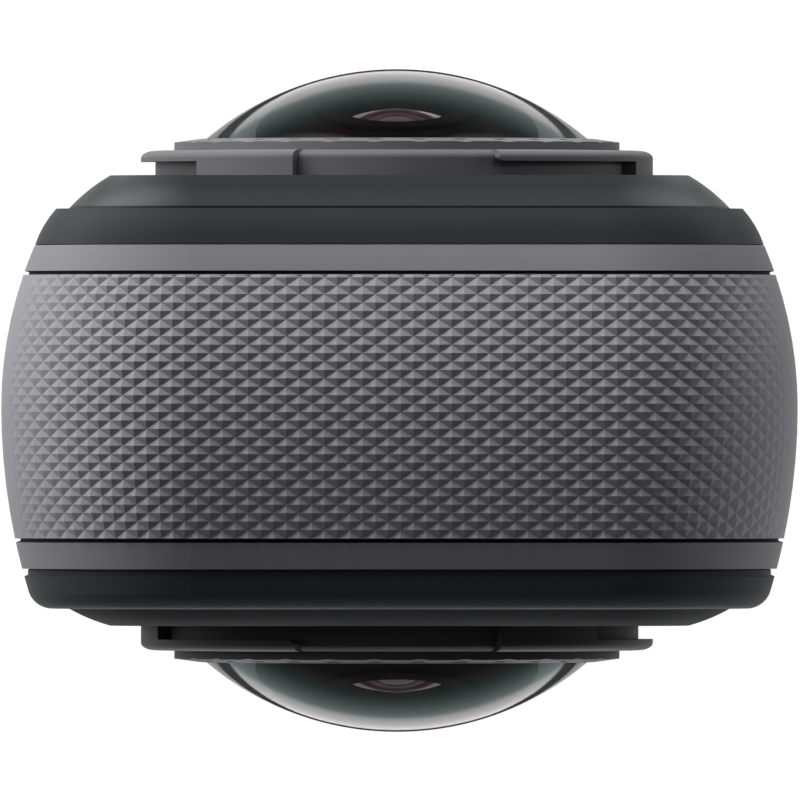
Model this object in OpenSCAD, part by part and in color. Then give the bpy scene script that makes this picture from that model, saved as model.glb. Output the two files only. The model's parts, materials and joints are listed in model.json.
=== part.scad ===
// Pocket 360 degree camera: a tall body with two fisheye lenses back to back
// Every piece is drawn lying on its front: x to the right as the screen is seen, y up from the base,
// z through the body toward the screen. stand() then sets it upright with the screen toward -Y.
// All sizes are in millimetres.

/* [Body] */
// Width over the fullest point of the sides
body_w = 46; // [44:0.5:50]
// Height from the flat base to the top
body_h = 124.5; // [118:0.5:135]
// Radius of the two upper corners
top_corner_r = 11; // [9:0.5:14]
// Radius of the two lower corners
bottom_corner_r = 8; // [7:0.5:10]
// Radius of the bulge of the sides toward the front
front_bulge_r = 23.6; // [22:0.1:40]
// Radius of the bulge of the sides toward the screen
rear_bulge_r = 36.4; // [28:0.1:50]
// Depth of the fullest point, toward the screen
bulge_z = 0.4; // [0:0.05:1]
// Height of the bulge that the flat base cuts off
base_cut = 0.9; // [0.7:0.05:1.2]

/* [Depth of the layers] */
// Mid-plane of the lenses to the front edge of the grip band
grip_front = 7.26; // [7:0.01:8]
// Mid-plane of the lenses to the rear edge of the grip band
grip_rear = 7.96; // [7.6:0.01:8.6]
// Groove on each side of the grip band
groove_w = 0.22; // [0.12:0.01:0.4]
// Rail of the frame in front of the band
front_rail_w = 1.49; // [1.2:0.01:2]
// Rail of the frame behind the band
rear_rail_w = 1.53; // [1.3:0.01:2]
// Side of the front cover
front_band_d = 2.06; // [1.8:0.01:2.5]
// Groove in front of the rear cover
neck_w = 0.44; // [0.25:0.01:0.6]
// Depth of that groove
neck_d = 0.32; // [0.2:0.01:0.6]
// Side of the rear cover
rear_band_d = 1.86; // [1.5:0.01:2.4]
// Radius of the front cover's side
front_side_r = 6; // [5.5:0.1:8]
// Lean of that side at its foot
front_lean = 19; // [17:0.5:22]
// Rounding of the rear cover's edge
rear_edge_r = 1.45; // [0.8:0.05:1.5]

/* [Walls] */
// Thickness of the grip band at its fullest point
grip_t = 2.3; // [2:0.05:2.6]
// Height on the sides where the grip band gives way to the base cap
grip_low = 13; // [12.5:0.5:16]
// Wall of the frame under the band
frame_wall = 1.4; // [1.2:0.05:1.8]
// Face of the front cover
front_wall = 1.2; // [1:0.05:1.5]
// Face of the rear cover
rear_wall = 2; // [1.8:0.05:2.2]
// Skirt of a cover inside the frame
skirt_t = 1; // [0.8:0.05:1.2]
// How far a skirt reaches into the frame
skirt_d = 1.4; // [1.2:0.05:1.8]
// Depth of the gasket groove in a skirt
gasket_t = 0.5; // [0.4:0.05:0.6]
// Width of the gasket
gasket_w = 0.6; // [0.5:0.05:0.8]

/* [Fits] */
// Gap between pieces fixed to each other
seam = 0.05; // [0.03:0.01:0.08]
// Gap around a piece that moves
play = 0.2; // [0.15:0.01:0.3]
// Radial gap of the door on its hinge pin
pin_play = 0.05; // [0.03:0.01:0.08]

/* [Lens plates] */
// Margin from the outline of the body to the foot of a plate
plate_margin = 3.9; // [3.6:0.05:4.4]
// Run of the sloping edge
plate_slope = 2.4; // [1.8:0.05:3]
// Radius of the sloping edge
plate_curve = 10; // [8:0.5:20]
// Mid-plane of the lenses to the face of each plate
plate_face = 13; // [12.8:0.01:13.4]

/* [Bayonet rings] */
// Radius over the lugs
lug_r = 14.87; // [14.7:0.01:15.5]
// Radius of the wall under the lugs
neck_r = 14.09; // [13.9:0.01:14.3]
// Height of the undercut
undercut_h = 0.85; // [0.6:0.01:1]
// How much deeper the undercut is than that wall
undercut_relief = 0.06; // [0.04:0.01:0.1]
// Thickness of a lug
lug_t = 0.65; // [0.6:0.01:1]
// Rounding of the upper edge
lug_edge = 0.42; // [0.2:0.01:0.5]
// Number of lugs
lug_count = 3; // [3:1:3]
// Angle that one lug covers
lug_span = 72.4; // [60:0.1:85]
// Part of that angle that is a solid stop
stop_span = 27.3; // [15:0.1:35]
// Where the first lug begins
lug_start = 113.7; // [100:0.1:120]
// Angle by which the undercut runs out into an entry gap
lead_in = 0.6; // [0.4:0.1:3]
// Rounding of a lug's lower corner at its entry gap
entry_r = 0.5; // [0.3:0.05:0.55]
// Wall of the sleeve that carries a lens
sleeve_wall = 0.95; // [0.8:0.05:1]

/* [Lens bezels] */
// Radius of the second tier
bezel_r = 12.93; // [12.7:0.01:13.4]
// Height of the second tier
bezel_h = 0.69; // [0.6:0.01:0.9]
// How much lower the outer edge of that tier lies
bezel_fall = 0.2; // [0.15:0.01:0.3]
// Level rim round the dome
bezel_flat = 0.3; // [0.2:0.05:0.5]
// Number of tool scallops
scallop_count = 30; // [24:1:36]
// Depth of a tool scallop
scallop_d = 0.05; // [0.04:0.01:0.1]
// Radius of a tool scallop
scallop_r = 2.4; // [1.6:0.1:3]
// Wall of the threaded collar
collar_t = 0.5; // [0.45:0.05:0.6]

/* [Optics] */
// Depth over both domes
overall_d = 38.48; // [37.8:0.02:39.6]
// Radius of a dome's rim
rim_r = 11.48; // [11.4:0.01:11.6]
// Height of the dome's rim
rim_h = 2.2; // [2:0.05:2.5]
// Radius of the dome's foot, inside the ring seal
foot_r = 10.5; // [10.2:0.05:10.55]
// How far the foot reaches below the rim
foot_d = 1.05; // [0.95:0.05:1.2]
// Top of the body to the optical axis
lens_drop = 23; // [22.5:0.1:24]
// Sideways place of the optical axis
lens_shift = -0.15; // [-0.3:0.05:0.3]
// Height of the black hood's lip above the foot
hood_h = 1.5; // [1.2:0.05:1.7]
// Radius of the lip
hood_r = 3.4; // [3.2:0.05:3.6]
// Chamfer of the lip's edge
hood_chamfer = 0.2; // [0.1:0.05:0.3]
// Radius of the second lens
second_r = 2.55; // [2.4:0.05:2.6]
// Radius of curvature of the second lens
second_curve = 3; // [2.8:0.05:3.4]
// Top of the second lens above the foot
second_rise = 0.9; // [0.7:0.05:1]
// Height of the second lens
second_h = 2.1; // [2:0.05:2.3]
// Radius of the relay lens
relay_r = 5; // [4.6:0.05:5.4]
// Length of the relay lens
relay_l = 5; // [4.5:0.1:5.5]
// Radius of curvature of the relay lens
relay_curve = 9; // [7:0.1:14]
// Wall of the barrel around the relay lens
barrel_wall = 2.2; // [1.8:0.1:2.4]
// Thickness of the barrel's flange
barrel_flange = 2.4; // [2.2:0.1:2.6]
// Thickness of the ring seal under a dome
lens_seal_d = 0.86; // [0.7:0.02:1]
// Length of an image sensor
sensor_l = 12; // [10:0.2:14]
// Width of an image sensor
sensor_w = 9; // [8:0.2:10]
// Height of an image sensor
sensor_h = 1.2; // [1:0.05:1.4]
// Thickness of a sensor board
sensor_board_t = 1; // [0.8:0.05:1.2]
// Plate of the bracket between the two lenses
bracket_t = 1.2; // [1:0.05:1.6]
// Height of the bracket's arms
bracket_arm = 9; // [7:0.5:12]
// Length of the bracket's cup, from the mid-plane
cup_l = 7.4; // [7:0.05:7.6]
// Wall of the cup
cup_wall = 1.4; // [1.2:0.05:1.8]

/* [Screen and keys] */
// Side of the body to the screen glass
screen_margin = 5.5; // [5.2:0.1:6.5]
// Height of the screen glass
screen_h = 60; // [56:0.5:61]
// Corner of the screen glass
screen_r = 4; // [2.5:0.5:6]
// Thickness of the screen glass
screen_t = 1; // [0.8:0.05:1.1]
// Lower edge of the screen glass
screen_low = 20; // [19:0.5:21]
// Ledge that carries the glass
screen_ledge = 1.2; // [1:0.05:1.5]
// Thickness of the display panel
panel_t = 1.4; // [1.2:0.05:1.5]
// Radius of the two keys under the screen
key_r = 4.2; // [3.6:0.1:4.6]
// Height of the two keys above the base
key_y = 11.6; // [11:0.1:12.5]
// Spacing of the two keys
key_spacing = 15; // [13:0.5:18]
// How far the keys stand out
key_proud = 0.3; // [0.1:0.05:0.5]
// Thickness of a key's flange
key_flange = 0.6; // [0.5:0.05:0.7]
// Travel of the two keys
key_travel = 0.3; // [0.2:0.05:0.4]
// Height of the power key on the right side
power_y = 65; // [64:0.5:66]
// Height of the quick key on the right side
quick_y = 79; // [78:0.5:80]
// Length of a side key
side_key_l = 10; // [8:0.5:11]
// Width of a side key
side_key_w = 4.4; // [3.8:0.1:5]
// Flange of a side key inside the frame
side_flange_t = 0.5; // [0.4:0.05:0.55]
// Travel of a side key
side_travel = 0.3; // [0.2:0.05:0.35]
// Radius of a key's stem
stem_r = 0.9; // [0.7:0.05:1]

/* [Battery] */
// Height of the battery
bat_h = 47; // [42:0.5:50]
// Room between the battery bay and the right wall of the frame
side_space = 9.65; // [9.4:0.05:10]
// Thickness of the battery
bat_t = 10.6; // [9.5:0.1:10.8]
// Lower end of the battery
bat_low = 19.5; // [19:0.5:21]
// Rounding of the battery's edges
bat_r = 1.5; // [0.8:0.1:2.5]
// Space above the battery for the card
card_space = 13.4; // [13:0.1:14.5]
// Width of the battery door's seal
door_seal_w = 0.7; // [0.5:0.05:0.8]
// How far the seal reaches into the frame
door_seal_d = 1; // [0.8:0.05:1.1]
// Lap of the door over the frame
door_lap = 0.3; // [0.25:0.05:0.4]
// Corner of the battery door
door_r = 3; // [2:0.25:4]
// Wall of the battery bay
bay_wall = 0.5; // [0.4:0.05:0.6]
// Flange of the bay against the frame
bay_flange = 0.8; // [0.6:0.05:1]
// Thickness of a contact blade
contact_t = 0.6; // [0.5:0.05:0.7]
// Spacing of the contact blades
contact_pitch = 4; // [3.5:0.25:5]
// Length of the latch slider
latch_l = 6; // [5:0.25:7]
// Width of the latch slider
latch_w = 6; // [5:0.25:7]
// Travel of the latch slider
latch_travel = 3; // [2.5:0.25:3.5]
// Depth of the latch recess
latch_d = 1; // [0.9:0.05:1.2]
// Thickness of the card
card_t = 0.9; // [0.7:0.05:1]

/* [Connector door] */
// Height of the connector above the base
usb_y = 45; // [44:0.5:46]
// Length of the door
usb_door_l = 20; // [18:0.5:21]
// Width of the door
usb_door_w = 11.4; // [11:0.1:11.8]
// Radius of the nail notch at the door's free edge
nick_r = 4.5; // [4:0.1:5]
// Depth of that notch
nick_d = 0.7; // [0.5:0.05:0.8]
// Radius of the hinge knuckle
knuckle_r = 0.8; // [0.75:0.01:0.85]
// Radius of the hinge pin
pin_r = 0.4; // [0.35:0.01:0.45]
// How far the pin reaches into the band at each end
pin_hold = 1.4; // [1:0.1:2]
// Length of the opening behind the door
usb_win_l = 13; // [12.5:0.1:14]
// Width of that opening
usb_win_w = 6.8; // [6.6:0.1:7]
// Lip of the door's seal
usb_seal_w = 0.8; // [0.6:0.05:0.9]
// How far the seal reaches into the opening
usb_seal_d = 0.9; // [0.7:0.05:1]
// Length of the connector's mouth over its shell
usb_l = 8.94; // [8.94:0.01:8.94]
// Width of the connector's mouth over its shell
usb_w = 3.26; // [3.26:0.01:3.26]
// Wall of the shell
usb_wall = 0.3; // [0.25:0.01:0.35]
// Length of the shell
usb_d = 7.3; // [6.5:0.1:7.4]

/* [Boards] */
// Thickness of the boards
board_t = 1; // [0.8:0.05:1.1]
// Gap between the battery bay and the main board
board_stand = 0.55; // [0.5:0.05:0.7]
// Wall of the frame to the edge of the main board
board_gap = 2.75; // [2.3:0.05:3.5]
// Lower edge of the main board
board_low = 6; // [5.5:0.25:6.5]
// Height of the shield can
can_h = 0.7; // [0.6:0.05:0.9]
// Thickness of the heat spreader
spreader_t = 0.6; // [0.4:0.05:0.9]
// End of the battery bay to the edge of the heat spreader
spreader_gap = 1.4; // [1:0.1:3]
// Height of the heat spreader
spreader_h = 50; // [44:0.5:56]
// Width of the side board
side_board_w = 7.4; // [7:0.1:7.6]
// Shank of a board screw
screw_r = 0.5; // [0.4:0.05:0.6]
// Head of a board screw
screw_head_r = 1; // [0.9:0.05:1.1]

/* [Sound and light] */
// Length of the speaker
speaker_l = 13; // [11:0.5:14]
// Width of the speaker
speaker_w = 9; // [8:0.5:10]
// Depth of the speaker
speaker_t = 3.2; // [2.5:0.1:3.4]
// Height of the speaker's middle
speaker_y = 11.6; // [11:0.1:13]
// Sideways place of the speaker
speaker_x = 8.6; // [8.6:0.1:10]
// Number of sound slots
slot_count = 5; // [4:1:6]
// Width of a sound slot
slot_w = 0.9; // [0.7:0.05:1]
// Height of the microphone's guard
mic_y = 76; // [74:0.5:78]
// Length of the microphone's guard
mic_l = 8; // [6:0.25:10]
// Width of the microphone's guard
mic_w = 2.6; // [2:0.1:3]
// Height of the status light
led_y = 69; // [67:0.5:70]
// Radius of the status light
led_r = 0.9; // [0.7:0.05:1.1]

/* [Base] */
// Radius inside the tripod thread
thread_r = 2.55; // [2.55:0.01:2.55]
// Depth of the tripod thread
thread_l = 6.2; // [5.5:0.1:6.5]
// Radius of the steel insert
insert_r = 4.2; // [4:0.1:4.8]
// Radius of the insert's flange
insert_flange_r = 5.4; // [5.2:0.1:5.8]
// Thickness of the insert's flange
insert_flange_t = 1.2; // [1:0.05:1.5]
// How far the insert lies above the base
insert_recess = 0.15; // [0.1:0.01:0.3]
// Radius of a magnet
magnet_r = 2.8; // [2:0.1:3.2]
// Spacing of the magnets
magnet_spacing = 20; // [18:0.5:22]
// Side of the body to the middle of a clip notch
notch_in = 7.5; // [7:0.1:8]
// Width of a clip notch
notch_w = 2.2; // [1.6:0.1:2.6]
// Length of a clip notch
notch_l = 8; // [6:0.25:9]
// Depth of a clip notch
notch_d = 0.8; // [0.5:0.05:0.9]

/* [Hidden] */
$fn = 96;
over = 1;
half_w = body_w / 2;
base_y = -base_cut;

// Layers through the depth
grip_z0 = -grip_front;
grip_z1 = grip_rear;
band_z = (grip_z0 + grip_z1) / 2;
chan_z0 = grip_z0 - groove_w;
chan_z1 = grip_z1 + groove_w;
frame_z0 = chan_z0 - front_rail_w;
frame_z1 = chan_z1 + rear_rail_w;
front_side_z = frame_z0 - seam;
front_face_z = front_side_z - front_band_d;
front_wall_z = front_face_z + front_wall;
front_skirt_z = frame_z0 + skirt_d;
front_side_x = -bulge(front_side_z) - front_side_r * cos(front_lean);
front_side_y = front_side_z + front_side_r * sin(front_lean);
neck_z0 = frame_z1 + seam;
rear_side_z = frame_z1 + neck_w;
rear_face_z = rear_side_z + rear_band_d;
rear_wall_z = rear_face_z - rear_wall;
rear_skirt_z = frame_z1 - skirt_d;

// Insets from the outline of the body
channel_in = grip_t + seam;
frame_in = channel_in + frame_wall;
skirt_out = frame_in + seam;
skirt_in = skirt_out + skirt_t;
inner_x = half_w - frame_in;
gasket_gap = 0.02;
edge_steps = 5;
arc_steps = 3;

// Lenses
lens_y = body_h - lens_drop;
lug_z = plate_face + undercut_h;
lug_top = lug_z + lug_t;
bezel_top = lug_top + bezel_h;
scallop_in = 1.1;
rim_top = lug_top + bezel_h / 2;
rim_low = rim_top - rim_h;
foot_z = rim_low - foot_d;
dome_rise = overall_d / 2 - rim_top;
dome_r = (rim_r * rim_r + dome_rise * dome_rise) / (2 * dome_rise);
dome_z = overall_d / 2 - dome_r;
collar_in = rim_r + seam;
collar_r = collar_in + collar_t;
bore_r = collar_r + seam;
tube_r = bore_r + sleeve_wall;
ring_in = bore_r - over;
gap_half = (360 / lug_count - lug_span) / 2;
lip_r = sqrt(dome_r * dome_r - (bezel_top - dome_z) * (bezel_top - dome_z)) + seam;
bezel_tilt = atan(bezel_fall / (bezel_r - lip_r - bezel_flat));
entry_end = gap_half + asin((entry_r - seam) / lug_r);
flange_top = rim_low - lens_seal_d - 2 * seam;
flange_low = flange_top - barrel_flange;
sleeve_z = cup_l + seam;
throat_r = relay_r + barrel_wall + 2 * seam;
hood_top = foot_z + hood_h;
second_top = foot_z + second_rise;
second_low = second_top - second_h;
second_z = second_top - second_curve;
second_ledge = 0.5;
relay_ledge = 0.8;
sensor_board_z = bracket_t / 2 + seam;
sensor_z = sensor_board_z + sensor_board_t;
barrel_low = sensor_z + sensor_h + over;
relay_z = flange_low - relay_l / 2 + seam;
cup_in = tube_r - cup_wall;
plate_w = body_w - 2 * plate_margin;
plate_r = top_corner_r - plate_margin;
plate_low = lens_y - plate_w / 2;
plate_h = body_h - plate_margin - plate_low;
plate_y = plate_low + plate_h / 2;

// Battery
bat_z = band_z;
bat_y = bat_low + bat_h / 2;
bat_x = -half_w + grip_t + seam;
bay_end = inner_x - side_space;
bay_x1 = bay_end - bay_wall;
bat_end = bay_x1 - contact_t - 3 * seam;
bay_low = bat_low - play;
bay_top = bat_low + bat_h + play + card_space;
bay_h = bay_top - bay_low;
bay_y = bay_low + bay_h / 2;
bay_w = bat_t + 2 * play;
win_h = bay_h + 2 * (door_seal_w + play);
win_w = bay_w + 2 * (door_seal_w + play);
win_r = door_r - door_lap;
door_h = win_h + 2 * door_lap;
door_w = win_w + 2 * door_lap;
door_skin = 0.05;
bay_x0 = -inner_x + seam;
bay_front = bat_z - bay_w / 2 - bay_wall;
bay_rear = bat_z + bay_w / 2 + bay_wall;
bay_margin = 0.5;
contact_w = 2.2;
contact_h = 4;
latch_skin = 0.2;
latch_y = bay_top - latch_l - latch_travel - 2;
latch_rib = 1.5;
card_l = 15;
card_w = 11;
card_inset = 2;
card_proud = 0.8;
slot_wall = 0.5;
slot_t = card_t + 2 * slot_wall;
slot_y = bay_top - card_space / 2;
slot_z = bat_z + bay_w / 2 - seam - slot_t;
slot_x = bay_x0 + bay_flange + card_inset;

// Boards
board_z = bay_rear + board_stand;
board_top = board_z + board_t;
board_half = inner_x - board_gap;
board_h = bay_top + bay_wall - board_low;
board_y = board_low + board_h / 2;
can_w = 2 * board_half - 11;
can_l = 26;
can_y = bay_y + 8;
small_can_w = can_w - 4;
small_can_l = 12;
small_can_y = bay_y - 17;
spreader_w = bay_end - bay_x0 - 2 * spreader_gap;
switch_t = 0.9;
switch_top = board_top + switch_t;
switch_w = 3.6;
nub_r = 1;
side_board_x = bay_end + seam;
side_board_top = band_z - usb_w / 2 - seam;
side_board_z = side_board_top - board_t;
side_board_low = usb_y - usb_l;
side_board_high = quick_y + side_key_l / 2;
side_switch_x = inner_x - 0.9;
side_switch_t = 2.2;
side_switch_z = side_board_top + seam + usb_w / 2;
nub_l = 0.4;
ledge_t = 1.2;
ledge_w = 3;
boss_r = 1.8;
screw_xs = [-board_half + 2.2, bay_end - 2.4];
screw_ys = [bay_low + 2.4, bay_top - 2.4];
screw_head_t = 0.5;

// Screen and keys
screen_w = body_w - 2 * screen_margin;
screen_y = screen_low + screen_h / 2;
glass_z = rear_face_z - screen_t;
panel_top = glass_z - seam;
panel_w = screen_w - 2 * screen_ledge - 2 * seam;
panel_h = screen_h - 2 * screen_ledge - 2 * seam;
key_top = rear_face_z + key_proud;
key_chamfer = 0.3;
key_dish_r = 14;
key_dish_d = 0.25;
key_flange_top = rear_wall_z - seam;
key_flange_low = key_flange_top - key_flange;
key_flange_r = key_r + 0.8;
stem_low = switch_top + key_travel + 2 * seam;
side_key_skin = 0.1;
side_lip = 0.8;
side_pocket = channel_in + side_flange_t + side_travel + 2 * seam;
side_flange_in = channel_in + seam;
side_stem_x = side_switch_x + side_travel + 2 * seam;

// Connector and its door
usb_x = inner_x + 0.3;
usb_back_wall = 1.2;
usb_win_r = 2;
tongue_w = 6.6;
tongue_t = 0.7;
hinge_z = band_z - usb_door_w / 2 + knuckle_r;
usb_skin = 0.1;
hinge_x = half_w - bulge(hinge_z) - knuckle_r - usb_skin / 2;
pin_seat = 0.02;
usb_back = 2.1;
free_z = band_z + usb_door_w / 2;
usb_corner = 0.8;

// Sound and light
slot_pitch = 2;
slot_l = 5;
guard_t = 0.4;
guard_hole_r = 0.35;
guard_pitch = 1.2;
mic_h = 1.1;
mic_depth = 3;
led_flange = 0.6;

// Inset of the bulging side at a depth
function bulge(z) = z < bulge_z ? bulge_in(z, front_bulge_r) : bulge_in(z, rear_bulge_r);
function bulge_in(z, r) = r - sqrt(r * r - (z - bulge_z) * (z - bulge_z));
// Tilt of the bulging side at a depth
function tilt(z) = asin(abs(z - bulge_z) / (z < bulge_z ? front_bulge_r : rear_bulge_r));
// Points along the side from one depth to another
function side_points(z0, z1) = [for (i = [0:arc_steps])
  let(z = z0 + (z1 - z0) * i / arc_steps) [-bulge(z), z]];
// Half angle of the crease where a rounding meets its faces
crease = 3;
rear_round = rear_edge_r * cos(2 * crease);
rear_tilt = tilt(rear_face_z);
rear_round_z = rear_face_z - rear_round;
rear_round_x = -bulge(rear_face_z - rear_round * (1 - sin(rear_tilt))) - rear_round * cos(rear_tilt);

module stand() {
  rotate([90, 0, 0]) children();
}

// Flat shape drawn in y and z, drawn out along x
module along_x(x0, x1) {
  translate([x0, 0, 0]) rotate([90, 0, 90]) linear_extrude(x1 - x0) children();
}

// Flat shape drawn in x and z, drawn out along y
module along_y(y0, y1) {
  translate([0, y1, 0]) rotate([90, 0, 0]) linear_extrude(y1 - y0) children();
}

module round_rect(w, h, r) {
  square([w - 2 * r, h], center = true);
  square([w, h - 2 * r], center = true);
  for (sx = [-1, 1]) {
    for (sy = [-1, 1]) {
      translate([sx * (w / 2 - r), sy * (h / 2 - r)]) circle(r);
    }
  }
}

module ring_rect(w, h, r, t) {
  difference() {
    round_rect(w, h, r);
    round_rect(w - 2 * t, h - 2 * t, max(r - t, 0.2));
  }
}

module stadium(l, w) {
  square([l - w, w], center = true);
  for (s = [-1, 1]) {
    translate([s * (l - w) / 2, 0]) circle(w / 2);
  }
}

// Outline of the body, drawn smaller by an inset
module outline(inset) {
  straight_low = base_y + bottom_corner_r;
  straight_high = body_h - top_corner_r;
  translate([-half_w + inset, straight_low]) square([body_w - 2 * inset, straight_high - straight_low]);
  translate([-half_w + top_corner_r, straight_low])
    square([body_w - 2 * top_corner_r, body_h - inset - straight_low]);
  translate([-half_w + bottom_corner_r, base_y + inset])
    square([body_w - 2 * bottom_corner_r, straight_high - base_y - inset]);
  for (s = [-1, 1]) {
    translate([s * (half_w - top_corner_r), straight_high]) circle(top_corner_r - inset);
    translate([s * (half_w - bottom_corner_r), straight_low]) circle(bottom_corner_r - inset);
  }
}

// A profile drawn as (minus inset, depth) carried along one straight side
module side_run(s, y0, y1) {
  if (s > 0) {
    translate([half_w, y1, 0]) rotate([90, 0, 0]) linear_extrude(y1 - y0) children();
  } else {
    translate([-half_w, y0, 0]) rotate([90, 0, 180]) linear_extrude(y1 - y0) children();
  }
}

// The profile carried over the top and down both sides
module arch_sweep(y_low) {
  high = body_h - top_corner_r;
  translate([-half_w + top_corner_r, body_h, 0]) rotate([90, 0, 90])
    linear_extrude(body_w - 2 * top_corner_r) children();
  for (s = [-1, 1]) {
    side_run(s, y_low, high) children();
    translate([s * (half_w - top_corner_r), high, 0]) rotate(s > 0 ? 0 : 90)
      rotate_extrude(angle = 90) translate([top_corner_r, 0]) children();
  }
}

// The profile carried under the base and up both sides
module tray_sweep(y_high) {
  low = base_y + bottom_corner_r;
  translate([half_w - bottom_corner_r, base_y, 0]) rotate([90, 0, -90])
    linear_extrude(body_w - 2 * bottom_corner_r) children();
  for (s = [-1, 1]) {
    side_run(s, low, y_high) children();
    translate([s * (half_w - bottom_corner_r), low, 0]) rotate(s > 0 ? -90 : 180)
      rotate_extrude(angle = 90) translate([bottom_corner_r, 0]) children();
  }
}

module ring_sweep() {
  arch_sweep(body_h / 2) children();
  tray_sweep(body_h / 2) children();
}

// The profile carried around a rounded rectangle
module rect_sweep(w, h, r) {
  for (k = [0:1]) {
    rotate(180 * k) {
      translate([w / 2, h / 2 - r, 0]) rotate([90, 0, 0]) linear_extrude(h - 2 * r) children();
      translate([-w / 2 + r, h / 2, 0]) rotate([90, 0, 90]) linear_extrude(w - 2 * r) children();
      translate([w / 2 - r, h / 2 - r, 0]) rotate_extrude(angle = 90) translate([r, 0]) children();
      translate([-w / 2 + r, h / 2 - r, 0]) rotate(90) rotate_extrude(angle = 90)
        translate([r, 0]) children();
    }
  }
}

// Section of the grip band, its skin set in by skin
module band_profile(z0, z1, skin) {
  intersection() {
    translate([-front_bulge_r, bulge_z]) circle(front_bulge_r - skin, $fn = 240);
    translate([-grip_t, z0]) square([grip_t + over, bulge_z - z0]);
  }
  intersection() {
    translate([-rear_bulge_r, bulge_z]) circle(rear_bulge_r - skin, $fn = 240);
    translate([-grip_t, bulge_z]) square([grip_t + over, z1 - bulge_z]);
  }
}

// Frame and skin

module frame_profile() {
  polygon(concat(side_points(frame_z0, chan_z0), [[-channel_in, chan_z0], [-channel_in, chan_z1]],
    side_points(chan_z1, frame_z1), [[-frame_in, frame_z1], [-frame_in, frame_z0]]));
}

module mid_frame() {
  color([0.36, 0.36, 0.38]) stand() difference() {
    ring_sweep() frame_profile();
    along_x(-half_w, -half_w + frame_in + over)
      translate([bay_y, bat_z]) round_rect(win_h, win_w, win_r);
    along_x(half_w - frame_in - over, half_w)
      translate([usb_y, band_z]) round_rect(usb_win_l, usb_win_w, usb_win_r);
    for (y = [power_y, quick_y]) {
      along_x(half_w - side_pocket, half_w) translate([y, band_z])
        stadium(side_key_l + 2 * (side_lip + play), side_key_w + 2 * (side_lip + play));
      along_x(half_w - frame_in - over, half_w) translate([y, band_z]) circle(stem_r + play);
    }
    along_y(base_y, base_y + frame_in + over) circle(insert_r + seam);
    for (s = [-1, 1]) {
      along_y(base_y, base_y + frame_in + over)
        translate([s * magnet_spacing / 2, 0]) circle(magnet_r + seam);
    }
  }
}

module grip_band() {
  color([0.42, 0.42, 0.44]) stand() difference() {
    arch_sweep(grip_low) band_profile(grip_z0, grip_z1, 0);
    along_x(-half_w - over, -half_w + grip_t + over)
      translate([bay_y, bat_z]) round_rect(door_h + 2 * play, door_w + 2 * play, door_r + play);
    along_x(half_w - grip_t - over, half_w + over)
      translate([usb_y, band_z - play / 2]) round_rect(usb_door_l + 2 * play, usb_door_w + 3 * play, 1);
    for (y = [power_y, quick_y]) {
      along_x(half_w - grip_t - over, half_w + over)
        translate([y, band_z]) stadium(side_key_l + 2 * play, side_key_w + 2 * play);
    }
    along_y(usb_y - usb_door_l / 2 - play - pin_hold, usb_y + usb_door_l / 2 + play + pin_hold)
      translate([hinge_x, hinge_z]) circle(pin_r + pin_seat);
  }
}

module base_cap() {
  color([0.13, 0.13, 0.14]) stand() difference() {
    tray_sweep(grip_low - seam) band_profile(grip_z0, grip_z1, 0);
    translate([-half_w, base_y - over, grip_z0 - over])
      cube([body_w, base_cut + over, grip_z1 - grip_z0 + 2 * over]);
    along_y(base_y, base_y + grip_t + over) circle(insert_r + seam);
    for (s = [-1, 1]) {
      along_y(-over, notch_d) translate([s * (half_w - notch_in), band_z]) round_rect(notch_w, notch_l, 0.8);
    }
  }
}

module tripod_insert() {
  top = thread_l + insert_recess + insert_flange_t;
  seat = base_y + frame_in + seam;
  color([0.6, 0.6, 0.62]) stand() difference() {
    union() {
      along_y(insert_recess, top) circle(insert_r);
      along_y(seat, seat + insert_flange_t) circle(insert_flange_r);
    }
    along_y(insert_recess - over, insert_recess + thread_l) circle(thread_r);
  }
}

module base_magnets() {
  color([0.55, 0.55, 0.57]) stand() for (s = [-1, 1]) {
    along_y(base_y + channel_in, base_y + frame_in) translate([s * magnet_spacing / 2, 0]) circle(magnet_r);
  }
}

// Covers

module front_profile() {
  intersection() {
    polygon([[over, front_side_z], [over, front_face_z], [-skirt_in - over, front_face_z],
      [-skirt_in - over, front_wall_z], [-skirt_in, front_wall_z], [-skirt_in, front_skirt_z],
      [-skirt_out, front_skirt_z], [-skirt_out, front_side_z]]);
    translate([front_side_x, front_side_y]) circle(front_side_r);
  }
}

// Gasket between a skirt and the frame, or its groove, drawn smaller by gap
module gasket_profile(z, gap) {
  translate([-skirt_out - gasket_t + gap, z - gasket_w / 2 + gap])
    square([gasket_t + seam / 2 - gap, gasket_w - 2 * gap]);
}

module front_cover() {
  color([0.12, 0.12, 0.13]) stand() difference() {
    union() {
      ring_sweep() front_profile();
      translate([0, 0, front_face_z]) linear_extrude(front_wall) outline(skirt_out + skirt_t / 2);
    }
    ring_sweep() gasket_profile(frame_z0 + skirt_d / 2, 0);
    translate([lens_shift, lens_y, front_face_z - over])
      cylinder(r = tube_r + seam, h = front_wall + 2 * over);
    for (i = [0:slot_count - 1]) {
      translate([speaker_x + (i - (slot_count - 1) / 2) * slot_pitch, speaker_y, front_face_z - over])
        linear_extrude(front_wall + 2 * over) rotate(90) stadium(slot_l, slot_w);
    }
    translate([0, mic_y, front_face_z - over]) linear_extrude(front_wall + 2 * over)
      stadium(mic_l - 1, mic_w - 1);
    translate([0, mic_y, front_face_z - over]) linear_extrude(over + guard_t + 2 * seam)
      stadium(mic_l + 2 * seam, mic_w + 2 * seam);
    translate([0, led_y, front_face_z - over]) cylinder(r = led_r + seam, h = front_wall + 2 * over);
  }
}

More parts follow.
